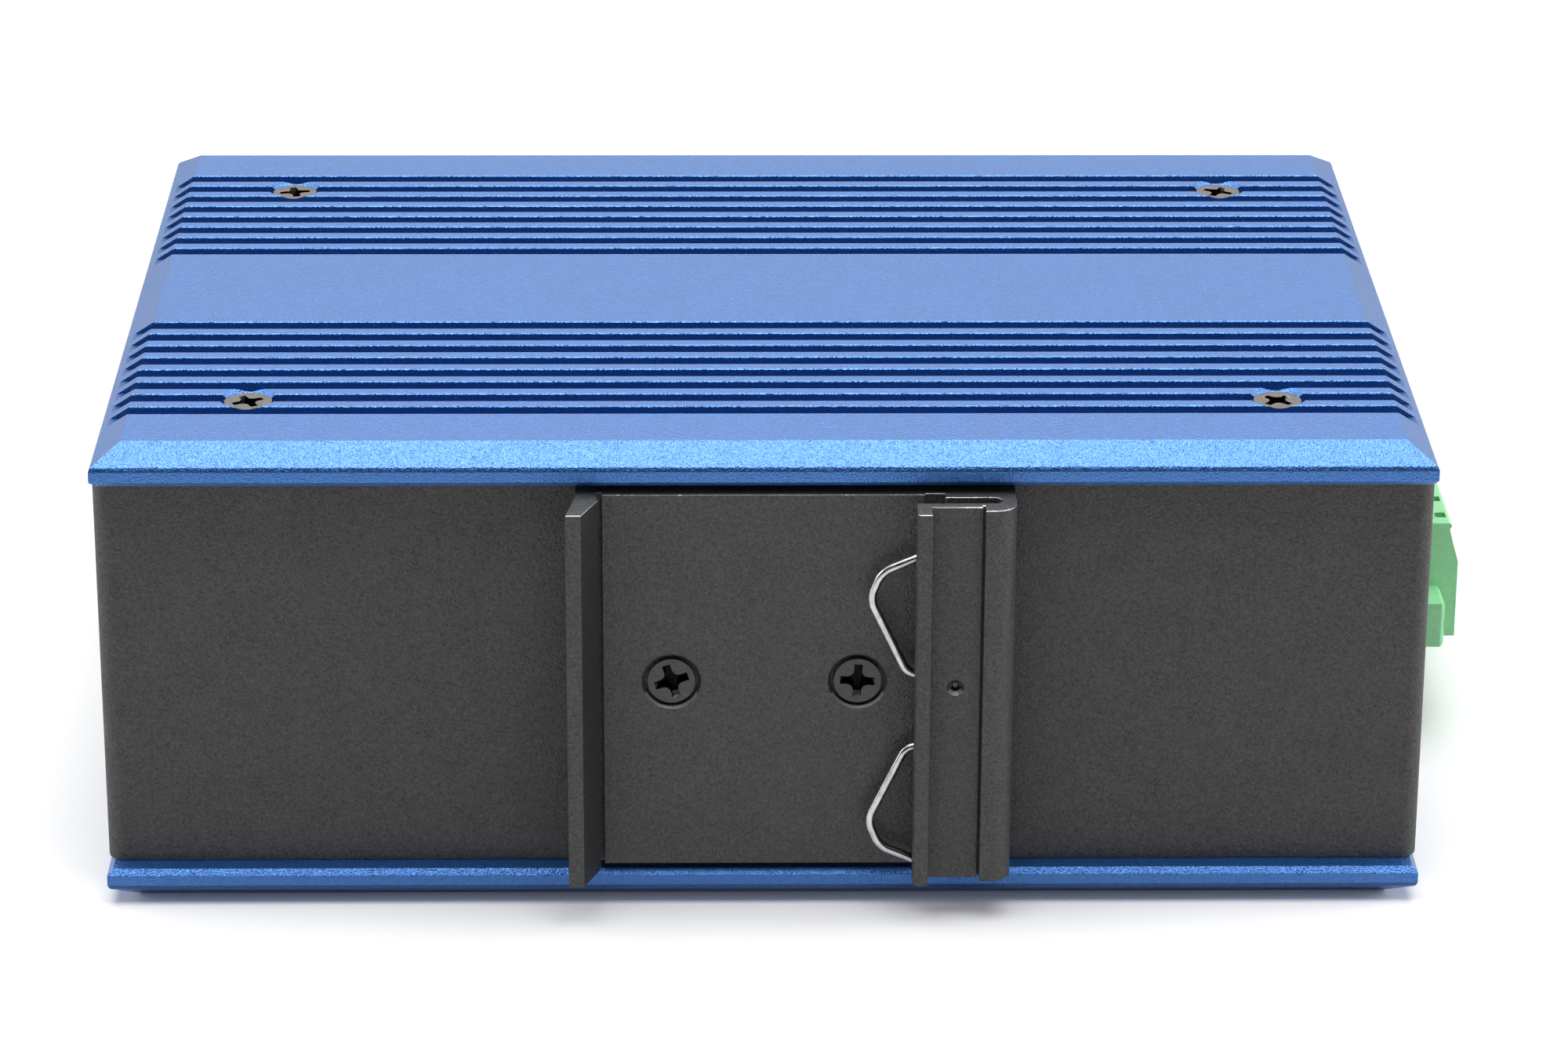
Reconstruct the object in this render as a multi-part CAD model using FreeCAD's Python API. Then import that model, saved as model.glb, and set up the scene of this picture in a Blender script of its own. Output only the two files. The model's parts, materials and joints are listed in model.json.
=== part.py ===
import FreeCAD, Part
import math
import os

from FreeCAD import Vector

# Switch that feeds power over its network ports, made to snap onto a 35 mm rail.
# It lies on its lower side cover. X runs along the long side, +Y points to the port
# panel and +Z up. The origin is the centre of the lower cover's flat underside.
# All sizes are in millimetres.

# Side covers, one finned plate used twice
cover_length = 143.0
cover_depth = 104.0
cover_thickness = 4.15
cover_bevel_run = 3.2
cover_bevel_rise = 2.05
cover_inner_bevel = 0.25
groove_count = 8              # in each of the two groups
groove_pitch = 3.84
groove_edge = 12.37           # centre of the outermost groove, from the cover's edge
groove_mouth = 2.39           # between the flats of two neighbouring fins
groove_chamfer = 0.27         # breaks both edges of every groove
groove_depth = 1.4
cover_screw_inset = 15.7      # from the cover's ends
outer_groove_count = 1        # grooves between the screws' groove and the edge

# Folded sheet chassis
chassis_height = 44.8         # clear height between the covers
chassis_proud = 0.15          # end walls past the covers' ends
panel_setback = 2.7           # back and front panels inside the covers' edges
sheet = 1.2
bend_radius = 0.8             # inside of every fold
flange_edge = 5.0             # from a flange's edge to its cover screws
flange_past_screw = 7.0       # flange past its screws, along Y
flange_relief = 1.0           # notch beside each flange's fold
flange_relief_height = 3.0
fit_gap = 0.1                 # between sheets that slide into each other
front_flange_length = 12.0
front_flange_inset = 5.0      # front flanges clear of the covers by this much

# Fasteners
m3_thread = 3.0
m3_clearance = 3.3
m4_thread = 4.0
thread_gap = 0.05             # radial gap that stands for the threads
countersunk_head = 5.2
cover_countersink = 6.28
clip_countersink = 6.03
cover_screw_length = 5.7
clip_screw_length = 5.8
nut_height = 1.4
m3_nut_flats = 5.5
m4_nut_flats = 7.0
board_screw_flats = 5.5
board_screw_height = 1.9

# Rail clip, an extrusion along Z; its face towards the rail is at height 0
clip_end_gap = 0.8            # the clip's ends inside the covers
clip_plate = 2.7
clip_screw_spacing = 20.0
hook_tip_height = 6.0
hook_outer_root = 20.15       # distances from the clip's centre line
hook_outer_tip = 21.08
hook_inner_tip = 19.44
hook_inner_root = 17.66
hook_root_height = 1.43
hook_foot_height = 0.48       # where the hook's sides leave the plate
hook_groove_depth = 0.74
hook_groove_side = 17.9
rail_face_left = 17.31
rail_face_right = 16.98
pocket_depth = 0.35
pocket_side = 19.1
channel_floor = 0.9
channel_height = 1.6
channel_end = 25.1
channel_wall = 1.2            # wall between the channel and the lip's foot
lip_inner = 16.0
lip_outer = 17.57
lip_height = 5.95
lip_round = 0.3
bead_start = 23.2
bead_height = 4.8
bead_side = 26.6
bead_radius = 2.4
seam_width = 0.25
seam_depth = 0.5

# Wire spring and the pin that keeps it in the channel
wire_diameter = 1.0
wire_bend = 1.1
wire_sides = 8
bend_share = 0.45             # of a straight run that a bend may take up
spring_slip = -2.6            # the spring has slid down to rest on its pin
spring_nose = 11.15           # distances from the clip's centre line
spring_shoulder = 12.4
spring_waist = 15.3
spring_loop = 24.0
spring_end = 24.2
spring_end_knee = 17.6
spring_end_gap = 3.35         # from the clip's ends to the knees, before the slip
spring_end_drop = 0.275       # distances towards the spring's middle
spring_shoulder_drop = 2.2
spring_nose_drop = 3.1
spring_waist_half = 4.2       # distances from the spring's middle
spring_loop_half = 4.55
pin_x = 20.35
pin_diameter = 1.2

# Earth screw on the left end wall
earth_screw_y = -16.1
earth_screw_from_cover = 12.25
earth_head = 8.0
earth_head_top = 5.6
earth_head_height = 3.0
earth_screw_length = 6.0

# Main board and what holds it
board_thickness = 1.6
standoff_height = 2.35
standoff_flats = 5.0
standoff_inset = 6.65         # from the end wall's outer face
board_edge_gap = 0.45         # to the front panel's flanges
board_rear_gap = 0.95         # to the back panel
board_front_gap = 0.5         # to the front panel

# Free width beside each group on the port side, as a share of all of it
free_left_of_jacks = 0.26
free_left_of_cages = 0.2
free_left_of_lights = 0.2

# Stacked network sockets
port_columns = 4
port_pitch = 13.97
jack_side_wall = 0.66
jack_height = 25.4
jack_depth = 26.0
jack_proud = 0.4              # past the front panel's outer face
shield_wall = 0.3
port_width = 11.9
port_body = 6.6
latch_step_width = 6.2
latch_step = 1.3
latch_slot_width = 3.4
latch_slot = 1.1
latch_margin = 1.4            # from the jack's outside to the latch slot
port_depth = 13.5
contact_count = 8
contact_pitch = 1.02
contact_width = 0.5
contact_thickness = 0.3
contact_rise = 1.8
contact_front = 2.2           # from the jack's face to the contacts' feet
contact_run = 7.5
window_gap = 0.25             # round what passes the front panel

# Fibre module cages
cage_count = 2
cage_pitch = 16.6
cage_width = 14.25
cage_height = 9.8
cage_length = 48.7
cage_wall = 0.3
cage_proud = 0.6
socket_width = 12.2
socket_height = 6.6
socket_depth = 8.0
socket_slot_height = 1.6
socket_slot_depth = 4.5
socket_well = 16.0            # opening in the cage's floor

# Status lights
light_rows = 5
light_columns = 2
light_pitch_x = 6.0
light_first_z = 14.0
light_pitch_z = 4.6
light_width = 2.4
light_height = 1.6
light_frame_thickness = 1.6
light_edge = 2.0              # frame past the centres of the outermost lights
light_proud = 0.3
lamp_size = 1.6

# Power terminal: a header on the board and its plug
pole_count = 6
pole_pitch = 5.08
terminal_from_panel = 38.55   # its middle behind the port panel
header_depth = 12.0
header_height = 8.6
header_ear = 5.3
header_floor = 1.3
header_wall = 0.9
header_cavity_depth = 8.6
pin_size = 1.0
pin_height = 4.6              # above the board
pin_tip_gap = 1.6             # from the header's face back to the pins' tips
pin_root = 2.6                # from the header's back to the pins' legs
pin_drop = 1.5                # below the board
pin_hole = 1.4
opening_gap = 0.3
plug_gap = 0.15
plug_reach = 9.65             # plug past the end wall
plug_foot = 2.05              # plug's underside above the board
plug_height = 14.25
plug_shoulder = 9.4           # height where the front begins to lean back
plug_lean = 1.25
plug_brow_height = 0.85
plug_brow = 0.3
ear_reach = 7.65
ear_low = 0.85                # ear's underside above the plug's underside
ear_height = 5.5
ear_bevel = 0.4
entry_width = 3.4
entry_height = 3.2
entry_low = 2.3               # above the plug's underside
well_width = 3.9
well_sides = 8
well_from_front = 4.9
cage_clamp_width = 3.9
cage_clamp_length = 3.9
cage_clamp_height = 5.2
cage_clamp_wall = 0.5
cage_clamp_gap = 0.1
test_window_x = 1.1
test_window_y = 1.5
test_window_depth = 1.6
test_window_from_brow = 1.3

# Parts soldered to the board
chip_side = 23.0
chip_height = 2.0
chip_from_jack = 10.0         # right of the sockets' middle
sink_side = 27.0
sink_gap = 3.4                # behind the magnetics
sink_base = 2.0
sink_height = 12.0
sink_fins = 7
sink_fin = 1.2
magnetics_length = 9.0
magnetics_width = 12.4
magnetics_height = 6.0
magnetics_gap = 1.5           # behind the jack
poe_chip_side = 10.0
poe_chip_height = 1.0
poe_chip_count = 2
poe_chip_pitch = 13.5
pad_margin = 1.0              # thermal pads past the chips they cool
pad_flange_gap = 1.3          # from the screw flanges' edge to the pads
pad_rear_gap = 1.1            # from the back panel to the pads
capacitor_diameter = 10.0
capacitor_height = 20.0
capacitor_sides = 16
capacitor_xs = [29.5, 40.5]
capacitor_rear_gap = 7.1      # from the back panel
inductor_side = 12.5
inductor_height = 8.0
inductor_corner = 2.5
inductor_xs = [3.0, 17.0]
inductor_rear_gap = 11.85     # from the back panel
relay_length = 15.0
relay_width = 10.0
relay_height = 11.0
relay_wall_gap = 10.65        # from the end wall's outer face
relay_terminal_gap = 1.21     # from the power terminal's header
relay_edge = 0.6

# Levels and planes that follow from the sizes above
chassis_floor = cover_thickness
chassis_roof = chassis_floor + chassis_height
chassis_middle = (chassis_floor + chassis_roof) / 2
overall_height = chassis_roof + cover_thickness
wall_x = cover_length / 2 + chassis_proud
back_y = panel_setback - cover_depth / 2
front_y = cover_depth / 2 - panel_setback
bend_outer = bend_radius + sheet
inner_back_y = back_y + sheet
outer_groove_y = cover_depth / 2 - groove_edge
cover_screw_x = cover_length / 2 - cover_screw_inset
cover_screw_y = outer_groove_y - outer_groove_count * groove_pitch
clip_length = chassis_height - 2 * clip_end_gap
spring_knee_half = clip_length / 2 - spring_end_gap
spring_shoulder_half = spring_knee_half - spring_shoulder_drop
spring_nose_half = spring_shoulder_half - spring_nose_drop
clip_face_y = back_y - clip_plate
earth_screw_z = chassis_roof - earth_screw_from_cover
board_bottom = chassis_floor + sheet + standoff_height
board_top = board_bottom + board_thickness
standoff_x = wall_x - standoff_inset
jack_front = front_y + jack_proud
jack_back = jack_front - jack_depth
jack_width = port_columns * port_pitch + 2 * jack_side_wall
cage_front = front_y + cage_proud
cage_back = cage_front - cage_length
terminal_half = pole_count * pole_pitch / 2
terminal_centre_y = front_y - terminal_from_panel
header_back = wall_x - header_depth
plug_bottom = board_top + plug_foot
plug_top = plug_bottom + plug_height
plug_back = wall_x + opening_gap
pin_axis_z = board_top + pin_height
ear_middle_z = plug_bottom + ear_low + ear_height / 2

# Places of the groups on the port side and of what stands behind them
panel_half = wall_x - 2 * sheet
cages_width = (cage_count - 1) * cage_pitch + cage_width
lights_width = (light_columns - 1) * light_pitch_x + 2 * light_edge
free_width = 2 * panel_half - jack_width - cages_width - lights_width
jack_left = free_left_of_jacks * free_width - panel_half
jack_centre_x = jack_left + jack_width / 2
cages_left = jack_left + jack_width + free_left_of_cages * free_width
cage_first_x = cages_left + cage_width / 2
light_first_x = cages_left + cages_width + free_left_of_lights * free_width + light_edge
magnetics_back = jack_back - shield_wall - magnetics_gap - magnetics_length
chip_x = jack_centre_x + chip_from_jack
chip_y = magnetics_back - sink_gap - sink_side / 2
pad_half = poe_chip_side / 2 + pad_margin
poe_chip_x = flange_edge - cover_screw_x + pad_flange_gap + pad_half
poe_chip_y = inner_back_y + pad_rear_gap + pad_half
relay_x = wall_x - relay_wall_gap - relay_length / 2
relay_y = terminal_centre_y - terminal_half - header_ear - relay_terminal_gap - relay_width / 2


def box(x0, x1, y0, y1, z0, z1):
    return Part.makeBox(x1 - x0, y1 - y0, z1 - z0, Vector(x0, y0, z0))


def rod(diameter, start, end):
    axis = end.sub(start)
    return Part.makeCylinder(diameter / 2, axis.Length, start, axis)


def face_of(points):
    return Part.Face(Part.makePolygon(points + points[:1]))


def turned(profile):
    """Revolves (radius, height) points about Z."""
    outline = [Vector(radius, 0, height) for radius, height in profile]
    return face_of(outline).revolve(Vector(0, 0, 0), Vector(0, 0, 1), 360)


def placed(shape, position, outward):
    """Moves a shape made at the origin, with its +Z turned to point outward."""
    moved = shape.copy()
    moved.Placement = FreeCAD.Placement(position, FreeCAD.Rotation(Vector(0, 0, 1), outward))
    return moved


def countersunk_screw(countersink, length):
    """Flat-headed screw seated in a countersink whose rim is at height 0."""
    head = countersunk_head / 2
    shank = m3_thread / 2 - thread_gap
    top = head - countersink / 2
    seat = top - head + shank
    return turned([(0, top), (head, top), (shank, seat), (shank, top - length), (0, top - length)])


def four_ways(x, y):
    return [(sx * x, sy * y) for sx in (-1, 1) for sy in (-1, 1)]


def bevelled_bar(half_width, length, sideways):
    """Cover's cross section, extruded along X, or along Y when sideways is set."""
    inner = half_width - cover_inner_bevel
    outer = half_width - cover_bevel_run
    shoulder = cover_thickness - cover_bevel_rise
    outline = [(inner, 0), (half_width, cover_inner_bevel), (half_width, shoulder), (outer, cover_thickness)]
    outline += [(-across, height) for across, height in reversed(outline)]
    if sideways:
        points = [Vector(across, -length / 2, height) for across, height in outline]
        return face_of(points).extrude(Vector(0, length, 0))
    points = [Vector(-length / 2, across, height) for across, height in outline]
    return face_of(points).extrude(Vector(length, 0, 0))


def make_finned_plate():
    """Plate with its inner face at height 0, bevelled all round, with its fins upwards."""
    along = bevelled_bar(cover_depth / 2, cover_length, False)
    across = bevelled_bar(cover_length / 2, cover_depth, True)
    grooves = []
    for index in range(groove_count):
        offset = outer_groove_y - index * groove_pitch
        grooves += [groove(-offset), groove(offset)]
    return along.common(across).cut(grooves)


def make_top_cover():
    """Finned plate with countersunk holes for its four screws."""
    cuts = []
    seat_depth = (cover_countersink - m3_clearance) / 2
    for x, y in four_ways(cover_screw_x, cover_screw_y):
        cuts.append(Part.makeCylinder(m3_clearance / 2, cover_thickness, Vector(x, y, 0)))
        seat_start = Vector(x, y, cover_thickness - seat_depth)
        cuts.append(Part.makeCone(m3_clearance / 2, cover_countersink / 2, seat_depth, seat_start))
    return make_finned_plate().cut(cuts)


def make_bottom_cover():
    """The same plate turned over; its four screw heads are part of it and flush with its fins."""
    heads = []
    for x, y in four_ways(cover_screw_x, cover_screw_y):
        start = Vector(x, y, cover_thickness - groove_depth)
        heads.append(Part.makeCylinder(cover_countersink / 2, groove_depth, start))
    return make_finned_plate().fuse(heads).removeSplitter()


def groove(y):
    """One cooling groove, cut the whole length of the cover and out through its bevels."""
    half_mouth = groove_mouth / 2
    half_floor = half_mouth - groove_chamfer
    side = [
        (half_floor, cover_thickness - groove_depth),
        (half_floor, cover_thickness - groove_chamfer),
        (half_mouth, cover_thickness),
    ]
    outline = side + [(-across, height) for across, height in reversed(side)]
    points = [Vector(-cover_length / 2, y + across, height) for across, height in outline]
    return face_of(points).extrude(Vector(cover_length, 0, 0))


def u_plan(half_width, back, front, radius, height, bottom):
    """Solid with two rounded upright corners at its back; back and front are Y values."""
    turn = 1 if front > back else -1
    diagonal = radius * (1 - math.sqrt(0.5))
    left_start = Vector(-half_width, back + turn * radius, bottom)
    left_middle = Vector(-half_width + diagonal, back + turn * diagonal, bottom)
    left_end = Vector(-half_width + radius, back, bottom)
    right_start = Vector(half_width - radius, back, bottom)
    right_middle = Vector(half_width - diagonal, back + turn * diagonal, bottom)
    right_end = Vector(half_width, back + turn * radius, bottom)
    front_right = Vector(half_width, front, bottom)
    front_left = Vector(-half_width, front, bottom)
    edges = [
        Part.Arc(left_start, left_middle, left_end).toShape(),
        Part.LineSegment(left_end, right_start).toShape(),
        Part.Arc(right_start, right_middle, right_end).toShape(),
        Part.LineSegment(right_end, front_right).toShape(),
        Part.LineSegment(front_right, front_left).toShape(),
        Part.LineSegment(front_left, left_start).toShape(),
    ]
    return Part.Face(Part.Wire(edges)).extrude(Vector(0, 0, height))


def screw_flange():
    """Lower right flange, folded in from the end wall."""
    edge = cover_screw_x - flange_edge
    diagonal = 1 - math.sqrt(0.5)
    low = chassis_floor
    top = chassis_floor + flange_relief_height
    half = cover_screw_y + flange_past_screw

    def at(x, z):
        return Vector(x, -half, z)

    outer_wall = at(wall_x, low + bend_outer)
    outer_mid = at(wall_x - diagonal * bend_outer, low + diagonal * bend_outer)
    outer_foot = at(wall_x - bend_outer, low)
    inner_foot = at(wall_x - bend_outer, low + sheet)
    inner_mid = at(wall_x - sheet - diagonal * bend_radius, low + sheet + diagonal * bend_radius)
    inner_wall = at(wall_x - sheet, low + bend_outer)
    edges = [
        Part.LineSegment(at(wall_x, top), outer_wall).toShape(),
        Part.Arc(outer_wall, outer_mid, outer_foot).toShape(),
        Part.LineSegment(outer_foot, at(edge, low)).toShape(),
        Part.LineSegment(at(edge, low), at(edge, low + sheet)).toShape(),
        Part.LineSegment(at(edge, low + sheet), inner_foot).toShape(),
        Part.Arc(inner_foot, inner_mid, inner_wall).toShape(),
        Part.LineSegment(inner_wall, at(wall_x - sheet, top)).toShape(),
        Part.LineSegment(at(wall_x - sheet, top), at(wall_x, top)).toShape(),
    ]
    return Part.Face(Part.Wire(edges)).extrude(Vector(0, 2 * half, 0))


def mirrored_z(shape):
    return shape.mirror(Vector(0, 0, chassis_middle), Vector(0, 0, 1))


def mirrored_x(shape):
    return shape.mirror(Vector(0, 0, 0), Vector(1, 0, 0))


def four_corners(shape):
    """The shape and its copies at the other end and under the other cover."""
    upper = mirrored_z(shape)
    return [shape, mirrored_x(shape), upper, mirrored_x(upper)]


def press_nut(thread, flats, seat, outward):
    """Hexagonal nut pressed onto the sheet's inner face, and the tapped hole through both."""
    nut = placed(prism(6, flats, Vector(0, 0, 0), nut_height), seat, outward)
    start = seat - outward * sheet
    return nut, rod(thread, start, seat + outward * nut_height)


def make_chassis_wrap():
    """Back panel and both end walls, folded from one sheet, with its press nuts."""
    outer = u_plan(wall_x, back_y, front_y, bend_outer, chassis_height, chassis_floor)
    inner = u_plan(wall_x - sheet, back_y + sheet, front_y + sheet, bend_radius,
                   chassis_height, chassis_floor)
    wrap = outer.cut(inner)

    notch_half = cover_screw_y + flange_past_screw + flange_relief
    notch = box(wall_x - bend_outer, wall_x, -notch_half, notch_half,
                chassis_floor, chassis_floor + flange_relief_height)
    notches = four_corners(notch)
    added = four_corners(screw_flange())
    holes = []
    for x, y in four_ways(cover_screw_x, cover_screw_y):
        holes.append(Part.makeCylinder(m3_thread / 2, sheet, Vector(x, y, chassis_roof - sheet)))

    for x in (-clip_screw_spacing / 2, clip_screw_spacing / 2):
        clip_seat = Vector(x, back_y + sheet, chassis_middle)
        nut, hole = press_nut(m3_thread, m3_nut_flats, clip_seat, Vector(0, 1, 0))
        added.append(nut)
        holes.append(hole)
    earth_seat = Vector(sheet - wall_x, earth_screw_y, earth_screw_z)
    nut, hole = press_nut(m4_thread, m4_nut_flats, earth_seat, Vector(1, 0, 0))
    added.append(nut)
    holes.append(hole)
    ear_end = terminal_half + header_ear + opening_gap
    header_top = board_top + header_height + opening_gap
    holes.append(box(wall_x - 2 * sheet, wall_x + sheet, terminal_centre_y - ear_end,
                     terminal_centre_y + ear_end, board_top - opening_gap, header_top))
    return wrap.cut(notches).fuse(added).cut(holes).removeSplitter()


def light_places():
    places = []
    for column in range(light_columns):
        for row in range(light_rows):
            places.append((light_first_x + column * light_pitch_x, light_first_z + row * light_pitch_z))
    return places


def light_window(x, z, gap, rear, front):
    half_width = light_width / 2 + gap
    half_height = light_height / 2 + gap
    return box(x - half_width, x + half_width, rear, front, z - half_height, z + half_height)


def cage_centres():
    return [cage_first_x + index * cage_pitch for index in range(cage_count)]


def make_front_panel():
    """Port panel with a flange at each end that lies against the inside of the end wall."""
    half = wall_x - sheet
    height = chassis_height - 2 * fit_gap
    bottom = chassis_floor + fit_gap
    rear = front_y - front_flange_length
    outer = u_plan(half, front_y, rear, bend_outer, height, bottom)
    inner = u_plan(half - sheet, front_y - sheet, rear - sheet, bend_radius, height, bottom)
    panel = outer.cut(inner)

    flange_start = front_y - bend_outer
    cuts = [
        box(-half, half, rear, flange_start, bottom, chassis_floor + front_flange_inset),
        box(-half, half, rear, flange_start, chassis_roof - front_flange_inset, chassis_roof),
    ]
    jack_half = jack_width / 2 + shield_wall + window_gap
    jack_top = board_top + jack_height + shield_wall + window_gap
    cuts.append(box(jack_centre_x - jack_half, jack_centre_x + jack_half, front_y - bend_outer,
                    front_y + sheet, board_top - window_gap, jack_top))
    cage_half = cage_width / 2 + window_gap
    for x in cage_centres():
        cuts.append(box(x - cage_half, x + cage_half, front_y - bend_outer, front_y + sheet,
                        board_top - window_gap, board_top + cage_height + window_gap))
    for x, z in light_places():
        cuts.append(light_window(x, z, fit_gap, front_y - bend_outer, front_y + sheet))
    return panel.cut(cuts)


def clip_profile():
    """Outline of the rail clip, as (X, height off the rail face) points, from its lower left."""
    ceiling = channel_floor + channel_height
    front_face = ceiling + channel_wall
    seam_left = bead_start - seam_width
    return [
        (-hook_outer_root, -clip_plate),
        (bead_side, -clip_plate),
        (bead_side, bead_height - bead_radius),
        "round",
        (bead_side - bead_radius, bead_height),
        (bead_start, bead_height),
        (bead_start, front_face - seam_depth),
        (seam_left, front_face - seam_depth),
        (seam_left, front_face),
        (lip_outer, front_face),
        (lip_outer, lip_height),
        (lip_inner + lip_round, lip_height),
        (lip_inner, lip_height - lip_round),
        (lip_inner, ceiling),
        (channel_end - channel_height / 2, ceiling),
        "half turn",
        (channel_end - channel_height / 2, channel_floor),
        (pocket_side, channel_floor),
        (pocket_side, -pocket_depth),
        (rail_face_right, -pocket_depth),
        (rail_face_right, 0),
        (-rail_face_left, 0),
        (-rail_face_left, -hook_groove_depth),
        (-hook_groove_side, -hook_groove_depth),
        (-hook_groove_side, hook_foot_height),
        (-hook_inner_root, hook_root_height),
        (-hook_inner_tip, hook_tip_height),
        (-hook_outer_tip, hook_tip_height),
        (-hook_outer_root, hook_foot_height),
    ]


def clip_z():
    return chassis_middle - clip_length / 2


def make_din_clip():
    """Extruded clip: fixed hook at the left, sprung channel with a lip at the right."""
    def at(place):
        return Vector(place[0], clip_face_y - place[1], clip_z())

    outline = clip_profile()
    outline.append(outline[0])
    quarter = bead_radius * math.sqrt(0.5)
    bulges = {
        "round": (bead_side - bead_radius + quarter, bead_height - bead_radius + quarter),
        "half turn": (channel_end, channel_floor + channel_height / 2),
    }
    edges = []
    for index in range(len(outline) - 1):
        here, there = outline[index], outline[index + 1]
        if isinstance(there, str):
            edges.append(Part.Arc(at(here), at(bulges[there]), at(outline[index + 2])).toShape())
        elif not isinstance(here, str):
            edges.append(Part.LineSegment(at(here), at(there)).toShape())
    clip = Part.Face(Part.Wire(edges)).extrude(Vector(0, 0, clip_length))

    cuts = []
    seat_depth = (clip_countersink - m3_clearance) / 2
    for x in (-clip_screw_spacing / 2, clip_screw_spacing / 2):
        surface = Vector(x, clip_face_y, chassis_middle)
        cuts.append(rod(m3_clearance, surface, surface + Vector(0, clip_plate, 0)))
        inward = Vector(0, 1, 0)
        cuts.append(Part.makeCone(clip_countersink / 2, m3_clearance / 2, seat_depth, surface, inward))
    front_wall = channel_floor + channel_height + channel_wall
    pin_start = Vector(pin_x, clip_face_y - front_wall, spring_pin_z())
    cuts.append(rod(pin_diameter, pin_start, pin_start + Vector(0, front_wall, 0)))
    return clip.cut(cuts)


def spring_middle_z():
    return chassis_middle + spring_slip


def spring_pin_z():
    """The spring's upper leg rests on the pin."""
    return spring_middle_z() + spring_loop_half - (wire_diameter + pin_diameter) / 2


def make_clip_spring():
    """One bent wire: two noses that press on the rail and a loop round the pin."""
    half = [
        (spring_end, spring_knee_half - spring_end_drop),
        (spring_end_knee, spring_knee_half),
        (spring_shoulder, spring_shoulder_half),
        (spring_nose, spring_nose_half),
        (spring_waist, spring_waist_half),
        (pin_x, spring_loop_half),
        (spring_loop, spring_loop_half),
    ]
    height = clip_face_y - channel_floor - channel_height / 2
    middle = spring_middle_z()
    points = [Vector(x, height, middle + z) for x, z in half]
    points += [Vector(x, height, middle - z) for x, z in reversed(half)]
    path = rounded_path(points, wire_bend)
    start = path.Edges[0]
    along = start.tangentAt(start.FirstParameter)
    sideways = along.cross(Vector(0, 1, 0))
    corner_radius = wire_diameter / 2 / math.cos(math.pi / wire_sides)
    corners = []
    for step in range(wire_sides):
        angle = 2 * math.pi * (step + 0.5) / wire_sides
        across = sideways * (corner_radius * math.cos(angle))
        corners.append(points[0] + across + Vector(0, corner_radius * math.sin(angle), 0))
    section = Part.makePolygon(corners + corners[:1])
    return path.makePipeShell([section], True, True)


def rounded_path(points, radius):
    """Straight runs joined by tangent arcs of one radius, less where a run is short."""
    edges = []
    here = points[0]
    for index in range(1, len(points) - 1):
        corner = points[index]
        before = points[index - 1].sub(corner)
        after = points[index + 1].sub(corner)
        half_angle = before.getAngle(after) / 2
        reach = radius / math.tan(half_angle)
        reach = min(reach, bend_share * before.Length, bend_share * after.Length)
        bend = reach * math.tan(half_angle)
        before.normalize()
        after.normalize()
        arc_start = corner + before * reach
        arc_end = corner + after * reach
        inward = before + after
        inward.normalize()
        arc_middle = corner + inward * (bend / math.sin(half_angle) - bend)
        edges.append(Part.LineSegment(here, arc_start).toShape())
        edges.append(Part.Arc(arc_start, arc_middle, arc_end).toShape())
        here = arc_end
    edges.append(Part.LineSegment(here, points[-1]).toShape())
    return Part.Wire(edges)


def make_spring_pin():
    front_wall = channel_floor + channel_height + channel_wall
    head = Vector(pin_x, clip_face_y - front_wall, spring_pin_z())
    tip = Vector(pin_x, clip_face_y, spring_pin_z())
    return rod(pin_diameter, head, tip)


def make_top_cover_screws():
    screw = countersunk_screw(cover_countersink, cover_screw_length)
    places = [Vector(x, y, overall_height) for x, y in four_ways(cover_screw_x, cover_screw_y)]
    return Part.makeCompound([placed(screw, place, Vector(0, 0, 1)) for place in places])


def make_clip_screws():
    screw = countersunk_screw(clip_countersink, clip_screw_length)
    places = [Vector(side * clip_screw_spacing / 2, clip_face_y, chassis_middle) for side in (-1, 1)]
    return Part.makeCompound([placed(screw, place, Vector(0, -1, 0)) for place in places])


def make_earth_screw():
    """Screw with a tapered round head against the end wall."""
    shank = m4_thread / 2 - thread_gap
    screw = turned([
        (0, earth_head_height),
        (earth_head_top / 2, earth_head_height),
        (earth_head / 2, 0),
        (shank, 0),
        (shank, -earth_screw_length),
        (0, -earth_screw_length),
    ])
    return placed(screw, Vector(-wall_x, earth_screw_y, earth_screw_z), Vector(-1, 0, 0))


def prism(sides, across_flats, centre, height):
    """Upright bar with a regular outline."""
    radius = across_flats / 2 / math.cos(math.pi / sides)
    corners = []
    for step in range(sides):
        angle = 2 * math.pi * (step + 0.5) / sides
        corners.append(centre + Vector(radius * math.cos(angle), radius * math.sin(angle), 0))
    return face_of(corners).extrude(Vector(0, 0, height))


def make_board_standoffs():
    """Hexagonal posts that stand on the lower flanges."""
    feet = [Vector(x, y, chassis_floor + sheet) for x, y in four_ways(standoff_x, cover_screw_y)]
    return Part.makeCompound([prism(6, standoff_flats, foot, standoff_height) for foot in feet])


def pole_centres():
    first = terminal_centre_y - terminal_half + pole_pitch / 2
    return [first + index * pole_pitch for index in range(pole_count)]


def leg_x():
    return header_back + pin_root


def make_main_board():
    """Circuit board with the heads of its four screws and holes for the terminal's pins."""
    half = wall_x - 2 * sheet - fit_gap - board_edge_gap
    rear = back_y + sheet + board_rear_gap
    front = front_y - sheet - board_front_gap
    board = box(-half, half, rear, front, board_bottom, board_top)
    places = [Vector(x, y, board_top) for x, y in four_ways(standoff_x, cover_screw_y)]
    heads = [prism(6, board_screw_flats, place, board_screw_height) for place in places]
    reach = pin_hole / 2
    holes = [box(leg_x() - reach, leg_x() + reach, y - reach, y + reach, board_bottom, board_top)
             for y in pole_centres()]
    return board.fuse(heads).cut(holes)


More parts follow.
